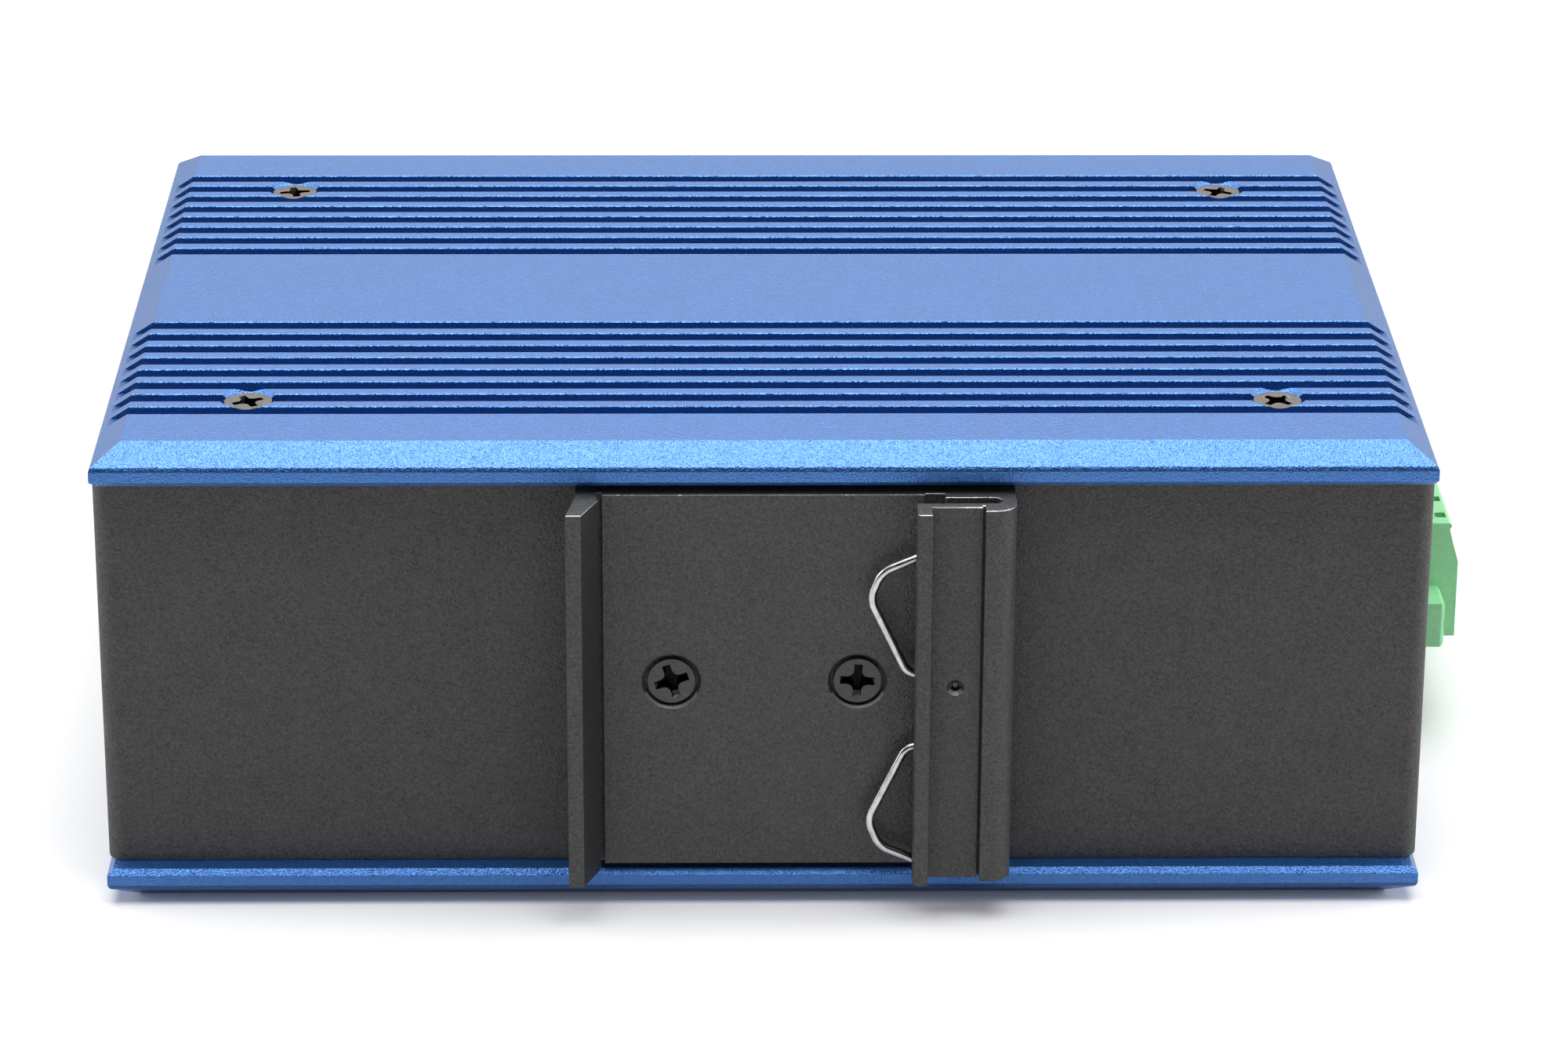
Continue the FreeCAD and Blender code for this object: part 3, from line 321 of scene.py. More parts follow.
looks = {
    # bead-blasted aluminium with a dyed oxide film: frosty at a low angle, deep blue seen straight on
    "blue_anodised": ("blastedBlueAnodised", {
        "Metallic": 0.7, "Coat Weight": 1.0, "Coat Roughness": 0.3, "Coat IOR": 1.6}, {
        "colours": ("#2068B8", "#2878CC"), "patch": 0.22, "roughness": (0.3, 0.37), "wear": 5.0,
        "grain": 0.2, "height": 0.15, "coat": True}),
    # steel sheet under fine textured powder: dull, with a fine grain that catches a soft light
    "black_powder_coat": ("texturedBlackPowder", {"Metallic": 0.0}, {
        "colours": ("#262626", "#4B4B4B"), "patch": 0.24, "roughness": (0.5, 0.62), "wear": 4.0,
        "grain": 0.28, "height": 0.1}),
    # extruded aluminium, etched and dyed black: a satin dark grey, with painted highlights of bright metal on
    # marked edges
    "black_anodised": ("satinBlackAnodised", {"Metallic": 0.0}, {
        "colours": ("#272727", "#4D4D4D"), "patch": 0.24, "roughness": (0.42, 0.52), "wear": 5.0,
        "grain": 0.28, "height": 0.1, "paintedGlint": "#C4C5C6"}),
    # drawn spring steel: bright, with short dull streaks
    "spring_wire": ("drawnSpringSteel", {"Metallic": 1.0}, {
        "colours": ("#B4B5B6", "#D6D6D6"), "patch": 0.9, "roughness": (0.12, 0.28), "wear": 0.7,
        "grain": 0.15, "height": 0.004}),
    # nickel-plated steel that has dulled to a warm grey
    "dark_screw": ("dulledNickelSteel", {"Metallic": 1.0}, {
        "colours": ("#7A736C", "#928A82"), "patch": 0.3, "roughness": (0.3, 0.42), "wear": 1.0,
        "grain": 0.15, "height": 0.01}),
    # steel screw with a black zinc finish, with a painted glint of bright metal at the ends of its cross
    "black_screw": ("blackZincSteel", {"Metallic": 0.0}, {
        "colours": ("#2E2E2E", "#484848"), "patch": 0.22, "roughness": (0.3, 0.4), "wear": 1.0,
        "grain": 0.2, "height": 0.03, "paintedGlint": "#C4C5C6"}),
    # steel with bright zinc
    "zinc_steel": ("brightZincSteel", {"Metallic": 1.0}, {
        "colours": ("#9C9FA3", "#B6B8BA"), "patch": 1.2, "roughness": (0.25, 0.4), "wear": 2.0,
        "grain": 0.3, "height": 0.006}),
    # tinned sheet: soft silver
    "tinned_steel": ("tinnedSheet", {"Metallic": 1.0}, {
        "colours": ("#A2A3A2", "#BABBB8"), "patch": 2.0, "roughness": (0.28, 0.42), "wear": 3.0,
        "grain": 0.5, "height": 0.01}),
    # gold flash on spring bronze
    "gold_contact": ("goldFlashedBronze", {"Metallic": 1.0}, {
        "colours": ("#C4983F", "#DBB564"), "patch": 1.0, "roughness": (0.18, 0.3), "wear": 1.0,
        "grain": 0.2, "height": 0.004}),
    # glass-fibre board under green solder mask
    "circuit_board": ("greenSolderMask", {"Metallic": 0.0}, {
        "colours": ("#0D4723", "#166231"), "patch": 2.5, "roughness": (0.28, 0.4), "wear": 4.0,
        "grain": 0.7, "height": 0.015}),
    # glass-filled nylon, matt black
    "black_plastic": ("mouldedBlackNylon", {"Metallic": 0.0}, {
        "colours": ("#19191A", "#252526"), "patch": 1.2, "roughness": (0.42, 0.58), "wear": 3.0,
        "grain": 0.25, "height": 0.012}),
    # milky lamp resin
    "lamp_plastic": ("milkyLampEpoxy", {"Metallic": 0.0}, {
        "colours": ("#BEC6B2", "#D3D8CA"), "patch": 1.0, "roughness": (0.2, 0.32), "wear": 1.0,
        "grain": 0.4, "height": 0.006}),
    # pale green nylon of a wire terminal, slightly satin
    "green_plastic": ("greenTerminalNylon", {"Metallic": 0.0}, {
        "colours": ("#8AD398", "#96DCA4"), "patch": 0.8, "roughness": (0.4, 0.52), "wear": 3.0,
        "grain": 0.3, "height": 0.012}),
    # chip resin, dead matt
    "chip_epoxy": ("mouldedChipEpoxy", {"Metallic": 0.0}, {
        "colours": ("#1E1E20", "#2B2B2D"), "patch": 0.6, "roughness": (0.6, 0.75), "wear": 2.0,
        "grain": 0.15, "height": 0.012}),
    # soft grey silicone
    "thermal_rubber": ("greySiliconePad", {"Metallic": 0.0}, {
        "colours": ("#86929E", "#9FAAB4"), "patch": 1.5, "roughness": (0.7, 0.85), "wear": 3.0,
        "grain": 0.4, "height": 0.02}),
    # shrunk plastic sleeve
    "capacitor_sleeve": ("shrunkSleeve", {"Metallic": 0.0}, {
        "colours": ("#181B27", "#242836"), "patch": 2.0, "roughness": (0.24, 0.35), "wear": 3.0,
        "grain": 0.6, "height": 0.01}),
    # pressed ferrite, dull and slightly rough
    "ferrite": ("pressedFerrite", {"Metallic": 0.0}, {
        "colours": ("#29292A", "#3A3A3B"), "patch": 0.7, "roughness": (0.62, 0.8), "wear": 2.0,
        "grain": 0.2, "height": 0.02}),
    # polyester relay case
    "relay_case": ("relayCasePolyester", {"Metallic": 0.0}, {
        "colours": ("#1B1B1F", "#28282D"), "patch": 1.5, "roughness": (0.3, 0.42), "wear": 3.0,
        "grain": 0.4, "height": 0.008}),
    # clear polycarbonate
    "clear_plastic": ("clearLightGuide", {"Transmission Weight": 0.9, "IOR": 1.585}, {
        "colours": ("#E4ECEA", "#F5F8F7"), "patch": 4.0, "roughness": (0.08, 0.18), "wear": 3.0,
        "grain": 0.8, "height": 0.006}),
}

materials = {}
for slotName, (name, settings, look) in looks.items():
    material, tree, shader = newMaterial(name, settings)
    dressShader(tree, shader, look)
    materials[slotName] = material

slotOf = {row["node"]: row["material_slot"] for row in frame["record"]["subparts"]}


def meshOf(nodeName):
    holders = [nodes[nodeName]] + list(nodes[nodeName].children_recursive)
    return [holder for holder in holders if holder.type == "MESH"][0]


for nodeName in nodes:
    mesh = meshOf(nodeName).data
    mesh.materials.clear()
    mesh.materials.append(materials[slotOf[nodeName]])
print("materials:", len(materials))


# finned side covers, one pattern used twice

# the shoulder and groove shade amounts are painted shade
cover = {
    "bevelRun": 3.2, "bevelRise": 2.05, "innerBevel": 0.6,
    "rimRound": 0.36, "shoulderShade": 0.5,
    "grooveCount": 8, "groovePitch": 3.84, "outerGroove": 39.63,
    "grooveMouth": 2.39, "grooveChamfer": 0.13, "grooveDepth": 1.4, "grooveShade": 0.4,
    "fineRound": 0.04,
    "screwX": 55.8, "screwY": 35.79, "countersink": 6.28, "hole": 3.3,
}


def makeCoverSlab(low, high):
    # low and high corners as if the plate lay with its inner face at height 0
    thick = high.z - low.z
    shoulder = thick - cover["bevelRise"]
    slab = addBlock("coverSlab", (low.x, low.y, cover["innerBevel"]), (high.x, high.y, shoulder))
    selectFaces(slab, lambda centre, normal: normal.z > 0.9)
    bpy.ops.mesh.inset(thickness=cover["bevelRun"] * mm, depth=0)
    bpy.ops.transform.translate(value=(0, 0, cover["bevelRise"] * mm))
    selectFaces(slab, lambda centre, normal: normal.z < -0.9)
    bpy.ops.mesh.inset(thickness=cover["innerBevel"] * mm, depth=0)
    bpy.ops.transform.translate(value=(0, 0, -cover["innerBevel"] * mm))
    selectEdges(slab, lambda a, b: abs(a.z - shoulder) < 0.01 and abs(b.z - shoulder) < 0.01)
    bpy.ops.mesh.bevel(offset=cover["rimRound"] * mm, segments=4, affect="EDGES")
    objectMode()
    return slab


def makeGrooveCutter(length, thick):
    wallHalf = cover["grooveMouth"] / 2 - cover["grooveChamfer"]
    y = cover["outerGroove"]
    cutter = addBlock("grooveCutter", (-length, y - wallHalf, thick - cover["grooveDepth"]),
                      (length, y + wallHalf, thick - cover["grooveChamfer"]))
    selectFaces(cutter, lambda centre, normal: normal.z > 0.9)
    bpy.ops.mesh.extrude_region_move(TRANSFORM_OT_translate={"value": (0, 0, cover["grooveChamfer"] * mm)})
    bpy.ops.transform.resize(value=(1, cover["grooveMouth"] / 2 / wallHalf, 1))
    bpy.ops.mesh.extrude_region_move(TRANSFORM_OT_translate={"value": (0, 0, 1.0 * mm)})
    objectMode()
    applyModifier(cutter, "ARRAY", count=cover["grooveCount"], use_relative_offset=False,
                  use_constant_offset=True, constant_offset_displace=(0, -cover["groovePitch"] * mm, 0))
    applyModifier(cutter, "MIRROR", use_axis=(False, True, False))
    return cutter


screwSites = [(x, y) for x in (-cover["screwX"], cover["screwX"])
              for y in (-cover["screwY"], cover["screwY"])]


def makeCovers():
    low, high = boxOf("top_cover")
    thick = high.z - low.z
    plate = makeCoverSlab(low, high)
    cutWith(plate, makeGrooveCutter(high.x, thick))
    breakEdges(plate, cover["fineRound"], 25)
    coneDepth = (cover["countersink"] - cover["hole"]) / 2
    for x, y in screwSites:
        sink = makeFunnelCutter(cover["hole"], cover["countersink"], coneDepth, thick + 1, 72)
        placeAt(sink, Matrix.Translation((x * mm, y * mm, thick * mm)))
        cutWith(plate, sink)

    def shade(centre, normal):
        # painted shade: the groove walls and bottoms and a facet line under the chamfer are marked darker
        # than the flats
        shoulder, bottom = thick - cover["bevelRise"], thick - cover["grooveDepth"]
        if abs(centre.z - shoulder) < 0.5 and 0.25 < normal.z < 0.65:
            return cover["shoulderShade"]
        isWall = abs(normal.y) > 0.9 and abs(centre.y) < high.y - 4 and centre.z > bottom - 0.1
        isBottom = normal.z > 0.9 and abs(centre.z - bottom) < 0.1
        return cover["grooveShade"] * (isWall or isBottom)

    markFaces(plate, "recess", shade)
    smooth(plate, 32)
    lower = plate.copy()
    lower.data = plate.data.copy()
    bpy.context.collection.objects.link(lower)
    lower.name, plate.name = "finnedCoverLower", "finnedCoverUpper"
    placeAt(plate, Matrix.Translation((0, 0, low.z * mm)))
    placeAt(lower, Matrix.Translation((0, 0, thick * mm)) @ Matrix.Rotation(math.pi, 4, "X"))
    finishPiece(plate, "blue_anodised", "top_cover")
    finishPiece(lower, "blue_anodised", "bottom_cover")


makeCovers()
print("covers done")


# CAD solids with broken edges: name, width of the break, and the shortest edge that gets it

def mergedCopy(nodeName, pieceName, joinFlats=True):
    source = meshOf(nodeName)
    piece = bpy.data.objects.new(pieceName, source.data.copy())
    bpy.context.collection.objects.link(piece)
    piece.matrix_world = source.matrix_world
    bakeTransform(piece)
    editMode()
    bpy.ops.mesh.select_all(action="SELECT")
    bpy.ops.mesh.remove_doubles(threshold=0.002 * mm)
    bpy.ops.mesh.normals_make_consistent(inside=False)
    if joinFlats:
        bpy.ops.mesh.dissolve_limited(angle_limit=math.radians(0.4))
    objectMode()
    return piece


edgeBreaks = {
    "chassis_wrap": ("foldedChassis", 0.1, 2.0),
    "front_panel": ("portPanel", 0.1, 2.0),
    "terminal_header": ("terminalSocket", 0.12, 2.0),
    "rj45_housing": ("socketBlock", 0.06, 2.0),
}
for nodeName, (pieceName, width, shortest) in edgeBreaks.items():
    dressed = mergedCopy(nodeName, pieceName)
    breakLongEdges(dressed, width, shortest)
    smooth(dressed)
    finishPiece(dressed, slotOf[nodeName], nodeName)
print("sheet and moulded pieces done")


# power plug: one slotted screw in each well, and one sunk in each ear

plug = {
    "edge": 0.12, "shortestEdge": 3.0, "pitch": 5.08, "poles": 6,
    "clampHead": 3.6, "clampHeight": 1.8, "clampSeat": 18.6, "clampX": 76.4, "clampSpin": 15, "clampTurn": 37,
    "earHead": 4.0, "earHeight": 1.6, "earFace": 79.3, "earY": 17.89, "earZ": 14.95,
    "earBore": 4.4, "earMouth": 4.8, "earLip": 0.2,
    "probeX": 79.05, "probeWide": 0.9, "probeLong": 1.2, "probeDepth": 0.6,
}
pinsLow, pinsHigh = boxOf("header_pins")
poleMiddle = (pinsLow.y + pinsHigh.y) / 2
firstPole = poleMiddle - plug["pitch"] * (plug["poles"] - 1) / 2
earSites = [(poleMiddle + side * plug["earY"], plug["earZ"]) for side in (-1, 1)]


def makePlug():
    piece = mergedCopy("terminal_plug", "terminalPlug", False)
    breakLongEdges(piece, plug["edge"], plug["shortestEdge"])
    for y, z in earSites:
        bore = makeFunnelCutter(plug["earBore"], plug["earMouth"], plug["earLip"],
                                plug["earHeight"] + 0.3, 40)
        placeAt(bore, facing((plug["earFace"], y, z), (1, 0, 0)))
        cutWith(piece, bore)
    # a slot for a test probe beside each well
    top = boxOf("terminal_plug")[1].z
    wide, long = plug["probeWide"] / 2, plug["probeLong"] / 2
    probes = addBlock("probeCutter", (plug["probeX"] - wide, firstPole - long, top - plug["probeDepth"]),
                      (plug["probeX"] + wide, firstPole + long, top + 1))
    applyModifier(probes, "ARRAY", count=plug["poles"], use_relative_offset=False,
                  use_constant_offset=True, constant_offset_displace=(0, plug["pitch"] * mm, 0))
    cutWith(piece, probes)
    activate(piece)
    bpy.ops.object.shade_flat()
    finishPiece(piece, "green_plastic", "terminal_plug")


makePlug()
print("plug done")


# rail clip with the dimple where its pin is staked

# the top and lip amounts are painted highlights, the inner and pin amounts painted shade
clip = {
    "edge": 0.1, "plate": 2.7, "glintTop": 1.0, "glintLip": 0.4, "innerShade": 0.5,
    "screwX": 10.0, "screwMouth": 6.4, "screwBore": 5.9, "screwLip": 0.26, "screwBoreDepth": 1.1,
    "dimple": 1.9, "dimpleDepth": 0.42, "pinDepth": 0.5, "pinShade": 0.85,
    "stakedRing": 0.14, "stakedRise": 0.05, "stakedSlope": 0.16, "stakedHollow": 0.3,
}
clipLow, clipHigh = boxOf("din_clip")
clipFace = clipHigh.y - clip["plate"]
clipMiddle = (clipLow.z + clipHigh.z) / 2


def makeRailClip():
    piece = mergedCopy("din_clip", "railClip")
    breakEdges(piece, clip["edge"])
    for side in (-1, 1):
        bore = makeFunnelCutter(clip["screwBore"], clip["screwMouth"], clip["screwLip"],
                                clip["screwBoreDepth"], 96)
        placeAt(bore, facing((side * clip["screwX"], clipFace, clipMiddle), (0, -1, 0)))
        cutWith(piece, bore)
    pinLow, pinHigh = boxOf("spring_pin")
    pinX, pinZ = (pinLow.x + pinHigh.x) / 2, (pinLow.z + pinHigh.z) / 2
    pinSize = pinHigh.x - pinLow.x
    dimple = makeFunnelCutter(pinSize, clip["dimple"], clip["dimpleDepth"], 1.0, 40)
    placeAt(dimple, facing((pinX, pinLow.y, pinZ), (0, -1, 0)))
    cutWith(piece, dimple)
    # painted highlight: faces of the sawn top edge that look up and forward are painted as bright metal, the
    # lower lips of the holes a little
    markFaces(piece, "paintedGlint", lambda centre, normal: (normal.z > 0.3 and normal.y < -0.3) * (
        clip["glintTop"] if centre.z > clipHigh.z - 0.5 else clip["glintLip"]))
    # painted shade on the inner face of the hook
    markFaces(piece, "recess", lambda centre, normal: normal.x > 0.9 and centre.x < 0, clip["innerShade"])
    smooth(piece)
    finishPiece(piece, "black_anodised", "din_clip")

    length = pinHigh.y - pinLow.y
    pin = addRod("stakedPin", pinSize - 0.02, -length, -clip["pinDepth"], 40)
    selectFaces(pin, lambda centre, normal: normal.z > 0.9)
    bpy.ops.mesh.inset(thickness=clip["stakedRing"] * mm, depth=clip["stakedRise"] * mm)
    bpy.ops.mesh.inset(thickness=clip["stakedSlope"] * mm, depth=-clip["stakedHollow"] * mm)
    objectMode()
    # painted shade over the whole staked pin
    markFaces(pin, "recess", lambda centre, normal: True, clip["pinShade"])
    placeAt(pin, facing((pinX, pinLow.y, pinZ), (0, -1, 0)))
    smooth(pin)
    finishPiece(pin, "zinc_steel", "spring_pin")


makeRailClip()
print("clip done")


# screws

# arm width and inner rounding are for a cross of this span; the end amount is a painted glint
recess = {"forSpan": 3.6, "armWidth": 0.84, "inner": 0.66, "taper": 0.82, "glintEnds": 0.8, "depth": 1.6}


def paintCrossShadeAndGlint(screw, spanMm, topMm):
    # painted shade in the cross, with a painted glint of bright metal at the ends of its arms
    def inRecess(centre):
        return centre.z < topMm - 0.05 and centre.xy.length < spanMm / 2

    def atArmEnd(centre, normal):
        return min(abs(centre.x), abs(centre.y)) < 0.1 and centre.xy.length > 0.5 and abs(normal.z) < 0.8

    markFaces(screw, "recess", lambda centre, normal: inRecess(centre) and not atArmEnd(centre, normal))
    markFaces(screw, "paintedGlint", lambda centre, normal: inRecess(centre) and atArmEnd(centre, normal),
              recess["glintEnds"])


def makeCrossCutter(spanMm, depthMm, topMm):
    # cross with rounded inner corners that narrows downwards
    half, arm = spanMm / 2, recess["armWidth"] / 2 * spanMm / recess["forSpan"]
    low, high = topMm - depthMm, topMm + 0.03

    def atInnerCorner(a, b):
        return abs(a.z - b.z) > 0.1 and abs(abs(a.x) - arm) < 0.01 and abs(abs(a.y) - arm) < 0.01

    cross = addBlock("crossCutter", (-half, -arm, low), (half, arm, high))
    cutWith(cross, addBlock("crossArm", (-arm, -half, low), (arm, half, high)), "UNION")
    activate(cross)
    editMode()
    bpy.ops.mesh.select_all(action="SELECT")
    bpy.ops.mesh.dissolve_limited(angle_limit=math.radians(1))
    selectEdges(cross, atInnerCorner)
    bpy.ops.mesh.bevel(offset=recess["inner"] * spanMm / recess["forSpan"] * mm, segments=5, affect="EDGES")
    selectFaces(cross, lambda centre, normal: normal.z < -0.9)
    bpy.ops.transform.resize(value=(recess["taper"], recess["taper"], 1))
    objectMode()
    return cross


countersunk = {"shank": 2.9, "land": 0.12, "edge": 0.035}


def makeCountersunkScrew(headMm, topMm, lengthMm, spanMm):
    shank, land = countersunk["shank"], countersunk["land"]
    cone = (headMm - shank) / 2
    screw = addRod("screwPattern", headMm, topMm - land, topMm, 96)
    selectFaces(screw, lambda centre, normal: normal.z < -0.9)
    bpy.ops.mesh.extrude_region_move(TRANSFORM_OT_translate={"value": (0, 0, -cone * mm)})
    bpy.ops.transform.resize(value=(shank / headMm, shank / headMm, 1))
    bpy.ops.mesh.extrude_region_move(TRANSFORM_OT_translate={"value": (0, 0, -(lengthMm - cone - land) * mm)})
    objectMode()
    cutWith(screw, makeCrossCutter(spanMm, recess["depth"], topMm))
    breakEdges(screw, countersunk["edge"], 40)
    paintCrossShadeAndGlint(screw, spanMm, topMm)
    smooth(screw, 35)
    return screw


# round, slot floor and cross depth are parts of the head's height
panHead = {"sunk": 0.3, "round": 0.45, "slotHalf": 0.35, "slotFloor": 0.45, "crossDepth": 0.75, "edge": 0.04}


def makePanScrew(headMm, heightMm, spanMm, slotted=False):
    screw = addRod("screwPattern", headMm, -panHead["sunk"], heightMm, 56)
    selectEdges(screw, lambda a, b: min(a.z, b.z) > heightMm - 0.01)
    bpy.ops.mesh.bevel(offset=heightMm * panHead["round"] * mm, segments=5, affect="EDGES")
    objectMode()
    if slotted:
        cutter = addBlock("slotCutter", (-headMm, -panHead["slotHalf"], heightMm * panHead["slotFloor"]),
                          (headMm, panHead["slotHalf"], heightMm + 1))
    else:
        cutter = makeCrossCutter(spanMm, heightMm * panHead["crossDepth"], heightMm)
    cutWith(screw, cutter)
    breakEdges(screw, panHead["edge"], 40)
    paintCrossShadeAndGlint(screw, spanMm, heightMm)
    smooth(screw, 35)
    return screw


coverScrew = {"head": 5.2, "sink": 0.4, "length": 5.3, "span": 3.6, "spins": (28, 12, 46, 63)}
coverTop = boxOf("top_cover")[1].z
for outward, level, name, replaced in (((0, 0, 1), coverTop, "upperCoverScrews", ("top_cover_screws",)),
                                       ((0, 0, -1), 0.0, "lowerCoverScrews", ())):
    places = [facing((x, y, level), outward, spin) for (x, y), spin in zip(screwSites, coverScrew["spins"])]
    pattern = makeCountersunkScrew(coverScrew["head"], -coverScrew["sink"],
                                   coverScrew["length"], coverScrew["span"])
    finishPiece(copiesAt(pattern, places, name), "dark_screw", *replaced)

clipScrew = {"head": 5.1, "sink": 0.15, "length": 5.65, "span": 3.8, "spins": (18, -3)}
clipPlaces = [facing((side * clip["screwX"], clipFace, clipMiddle), (0, -1, 0), spin)
              for side, spin in zip((-1, 1), clipScrew["spins"])]
clipPattern = makeCountersunkScrew(clipScrew["head"], -clipScrew["sink"],
                                   clipScrew["length"], clipScrew["span"])
finishPiece(copiesAt(clipPattern, clipPlaces, "clipFixingScrews"), "black_screw", "clip_screws")

# pan-head screws that hold the port panel's flanges to the end walls
panelScrew = {"head": 5.5, "height": 1.9, "span": 3.0, "y": 42.8, "spin": 20}
wallX = boxOf("chassis_wrap")[1].x
panelPlaces = [facing((side * wallX, panelScrew["y"], clipMiddle), (side, 0, 0), panelScrew["spin"] * side)
               for side in (-1, 1)]
panelPattern = makePanScrew(panelScrew["head"], panelScrew["height"], panelScrew["span"])
finishPiece(copiesAt(panelPattern, panelPlaces, "panelFixingScrews"), "black_screw")

# earth screw: a round tapered head with a deep cross
earthScrew = {
    "top": 5.6, "head": 8.0, "height": 3.0, "collar": 0.25, "round": 0.7, "edge": 0.05,
    "span": 3.9, "depth": 2.0, "shank": 3.9, "spin": 10,
}


def makeEarthScrew():
    low, high = boxOf("earth_screw")
    taper = earthScrew["height"] - earthScrew["collar"]
    screw = addRod("earthScrew", earthScrew["head"], -0.01, earthScrew["collar"], 72)
    selectFaces(screw, lambda centre, normal: normal.z > 0.9)
    bpy.ops.mesh.extrude_region_move(TRANSFORM_OT_translate={"value": (0, 0, taper * mm)})
    bpy.ops.transform.resize(value=(earthScrew["top"] / earthScrew["head"],) * 2 + (1,))
    selectEdges(screw, lambda a, b: min(a.z, b.z) > earthScrew["height"] - 0.01)
    bpy.ops.mesh.bevel(offset=earthScrew["round"] * mm, segments=5, affect="EDGES")
    objectMode()
    inside = high.x - low.x - earthScrew["height"]
    cutWith(screw, addRod("earthShank", earthScrew["shank"], -inside, 0.1, 48), "UNION")
    cutWith(screw, makeCrossCutter(earthScrew["span"], earthScrew["depth"], earthScrew["height"]))
    breakEdges(screw, earthScrew["edge"], 40)
    smooth(screw, 35)
    place = (low.x + earthScrew["height"], (low.y + high.y) / 2, (low.z + high.z) / 2)
    placeAt(screw, facing(place, (-1, 0, 0), earthScrew["spin"]))
    finishPiece(screw, "zinc_steel", "earth_screw")


makeEarthScrew()

clampPlaces = [facing((plug["clampX"], firstPole + index * plug["pitch"], plug["clampSeat"]), (0, 0, 1),
                      plug["clampSpin"] + plug["clampTurn"] * index) for index in range(plug["poles"])]
clampPattern = makePanScrew(plug["clampHead"], plug["clampHeight"], 0, True)
finishPiece(copiesAt(clampPattern, clampPlaces, "wireClampScrews"), "zinc_steel")
earSeat = plug["earFace"] - plug["earHeight"] - 0.1
earPlaces = [facing((earSeat, y, z), (1, 0, 0), spin) for (y, z), spin in zip(earSites, (-30, 30))]
earPattern = makePanScrew(plug["earHead"], plug["earHeight"], 0, True)
finishPiece(copiesAt(earPattern, earPlaces, "plugEarScrews"), "zinc_steel")
print("screws done")


# wire spring

spring = {
    # X and distance from the spring's middle, from its end to the loop round the pin
    "half": [(24.2, 17.975), (17.6, 18.25), (12.4, 16.05), (11.15, 12.95),
             (15.3, 4.2), (20.35, 4.55), (24.0, 4.55)],
    "wire": 1.0,
    "bend": 1.1,
}


def makeSpring():
    low, high = boxOf("clip_spring")
    depth, middle = (low.y + high.y) / 2, (low.z + high.z) / 2
    route = [(x, depth, middle + z) for x, z in spring["half"]]
    route += [(x, depth, middle - z) for x, z in reversed(spring["half"])]
    curve = bpy.data.curves.new("clipSpringWire", "CURVE")
    curve.dimensions = "3D"
    line = curve.splines.new("POLY")
    line.points.add(len(route) - 1)
    for point, place in zip(line.points, route):
        point.co = (*(Vector(place) * mm), 1)
    wire = bpy.data.objects.new("clipSpringWire", curve)
    bpy.context.collection.objects.link(wire)
    activate(wire)
    bpy.ops.object.convert(target="MESH")
    wire = bpy.context.active_object
    editMode("VERT")
    bpy.ops.mesh.select_all(action="SELECT")
    bpy.ops.mesh.bevel(offset=spring["bend"] * mm, segments=8, affect="VERTICES")
    objectMode()
    bpy.ops.object.convert(target="CURVE")
    wire = bpy.context.active_object
    wire.data.bevel_depth = spring["wire"] / 2 * mm
    wire.data.bevel_resolution = 5
    wire.data.use_fill_caps = True
    bpy.ops.object.convert(target="MESH")
    wire = bpy.context.active_object
    activate(wire)
    bpy.ops.object.shade_smooth_by_angle(angle=math.radians(40))
    finishPiece(wire, "spring_wire", "clip_spring")


makeSpring()
print("spring done")


# floor, light and camera

studio = {
    # the paper as the camera sees it, and a little darker for the light that it gives back
    "floorSize": 8.0, "floorShown": "#FFFFFF", "floorGiven": "#E1E1E1", "floorLift": 0.02,
    # brightness behind, on the camera's side and at the floor, and for light that isn't mirrored
    "behind": 1.1, "cameraSide": 0.05, "lowSky": 0.2, "soft": 0.3,
    # by the view's direction: Y between which the walls brighten, and Z where they are fully bright
    "darkTo": -0.75, "brightFrom": -0.05, "fullHeight": 0.36,
}

# place and size in metres, watts, and the place that the lamp looks at
lamps = {
    "overheadSoftbox": ((0.0, -0.03, 1.0), 1.0, 12.6, (0.0, -0.03, 0.0)),
    "leftSoftbox": ((-0.75, -0.05, 0.26), 0.5, 2.0, (0.0, -0.03, 0.03)),
    "rightSoftbox": ((0.75, 0.0, 0.26), 0.4, 2.8, (0.0, -0.03, 0.03)),
}


def seenDirectly(tree, path):
    # 1 for rays from the camera and for rays through clear pieces
    either = addNode(tree, "ShaderNodeMath", {"operation": "MAXIMUM"},
                     {0: path.outputs["Is Camera Ray"], 1: path.outputs["Is Transmission Ray"]})
    return either.outputs[0]


def makeFloor():
    bpy.ops.mesh.primitive_plane_add(size=studio["floorSize"], location=(0, 0, 0))
    floor = bpy.context.active_object
    floor.name = "paperFloor"
    material, tree, shader = newMaterial("whitePaperFloor", {"Roughness": 0.9, "Specular IOR Level": 0.1})
    direct = seenDirectly(tree, addNode(tree, "ShaderNodeLightPath"))
    paper = addNode(tree, "ShaderNodeMix", {"data_type": "RGBA", 6: hexColour(studio["floorGiven"]),
                                            7: hexColour(studio["floorShown"])}, {0: direct})
    tree.links.new(paper.outputs[2], shader.inputs["Base Color"])
    lift = addNode(tree, "ShaderNodeMath", {"operation": "MULTIPLY", 1: studio["floorLift"]}, {0: direct})
    glow = addNode(tree, "ShaderNodeEmission", {"Color": (1, 1, 1, 1)}, {"Strength": lift.outputs[0]})
    both = addNode(tree, "ShaderNodeAddShader", None, {0: shader.outputs[0], 1: glow.outputs[0]})
    tree.links.new(both.outputs[0], tree.nodes["Material Output"].inputs["Surface"])
    floor.data.materials.append(material)


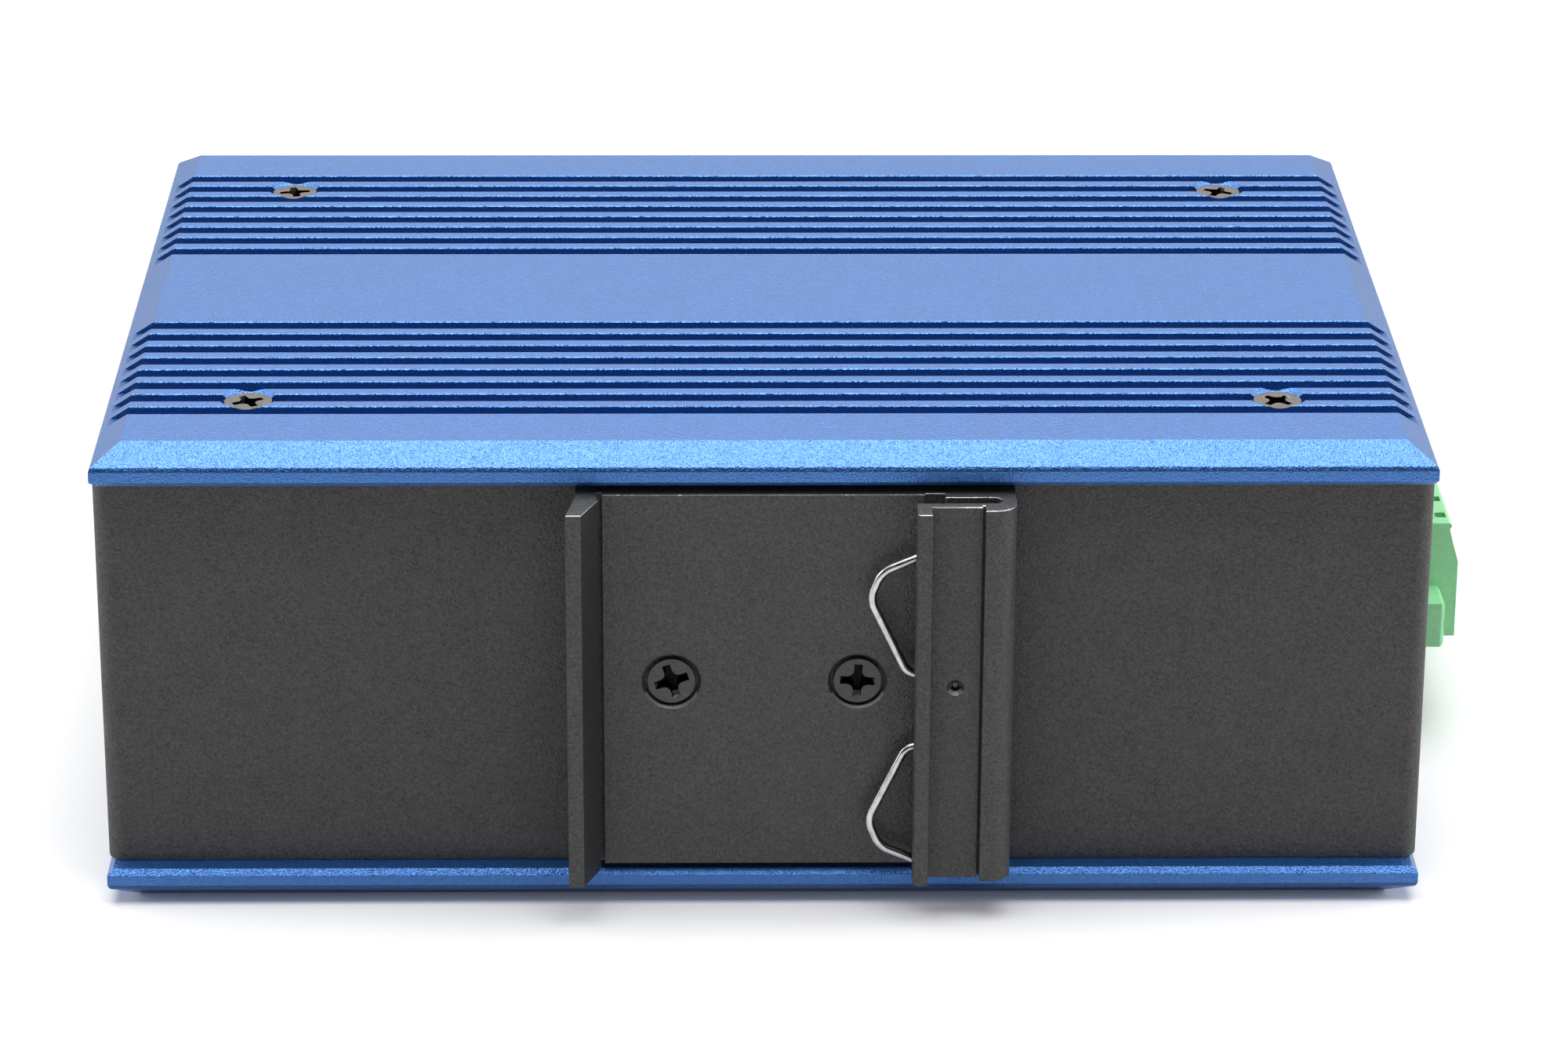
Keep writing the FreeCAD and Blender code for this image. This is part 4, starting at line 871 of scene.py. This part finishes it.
def makeWorld():
    # a white studio whose camera side is dark and whose walls fade towards the floor
    world = bpy.data.worlds.new("paleStudio")
    bpy.context.scene.world = world
    world.use_nodes = True
    tree = world.node_tree
    direction = addNode(tree, "ShaderNodeTexCoord").outputs["Generated"]
    axes = addNode(tree, "ShaderNodeSeparateXYZ", None, {0: direction})
    depth = addNode(tree, "ShaderNodeMapRange", {
        "interpolation_type": "SMOOTHSTEP", "From Min": studio["darkTo"], "From Max": studio["brightFrom"],
        "To Min": studio["cameraSide"], "To Max": studio["behind"]}, {"Value": axes.outputs["Y"]})
    height = addNode(tree, "ShaderNodeMapRange", {
        "From Min": 0.0, "From Max": studio["fullHeight"],
        "To Min": studio["lowSky"], "To Max": 1.0}, {"Value": axes.outputs["Z"]})
    walls = addNode(tree, "ShaderNodeMath", {"operation": "MULTIPLY"},
                    {0: depth.outputs[0], 1: height.outputs[0]})
    path = addNode(tree, "ShaderNodeLightPath")
    direct = seenDirectly(tree, path)
    shiny = addNode(tree, "ShaderNodeMix", {"data_type": "FLOAT", 2: studio["soft"]},
                    {0: path.outputs["Is Glossy Ray"], 3: walls.outputs[0]})
    shown = addNode(tree, "ShaderNodeMix", {"data_type": "FLOAT", 3: 1.0}, {0: direct, 2: shiny.outputs[0]})
    tree.nodes["Background"].inputs["Color"].default_value = (1, 1, 1, 1)
    tree.links.new(shown.outputs[0], tree.nodes["Background"].inputs["Strength"])


def makeLamps():
    for name, (place, side, watts, target) in lamps.items():
        lamp = bpy.data.lights.new(name, "AREA")
        lamp.energy, lamp.size = watts, side
        holder = bpy.data.objects.new(name, lamp)
        bpy.context.collection.objects.link(holder)
        holder.location = place
        holder.rotation_euler = (Vector(target) - Vector(place)).to_track_quat("-Z", "Y").to_euler()


# found from points of the photograph: place in mm, angles in degrees, lens in mm
camera = {
    "place": (-6.52, -572.77, 255.13), "azimuth": 0.939, "elevation": 21.975, "roll": 0.268, "lens": 121.52,
}


def makeCamera():
    azimuth, elevation = math.radians(camera["azimuth"]), math.radians(camera["elevation"])
    data = bpy.data.cameras.new("photoCamera")
    data.lens, data.sensor_width, data.sensor_fit = camera["lens"], 36.0, "HORIZONTAL"
    data.clip_start, data.clip_end = 0.01, 50.0
    holder = bpy.data.objects.new("photoCamera", data)
    bpy.context.collection.objects.link(holder)
    level = math.cos(elevation)
    ahead = Vector((math.sin(azimuth) * level, math.cos(azimuth) * level, -math.sin(elevation)))
    right = ahead.cross(Vector((0, 0, 1))).normalized()
    up = right.cross(ahead)
    roll = math.radians(camera["roll"])
    rolledRight = math.cos(roll) * right + math.sin(roll) * up
    rolledUp = math.cos(roll) * up - math.sin(roll) * right
    turn = Matrix((rolledRight, rolledUp, -ahead)).transposed().to_4x4()
    holder.matrix_world = Matrix.Translation(Vector(camera["place"]) * mm) @ turn
    bpy.context.scene.camera = holder


makeFloor()
makeWorld()
makeLamps()
makeCamera()
bpy.context.scene.view_settings.view_transform = "Standard"
print("studio and camera done")
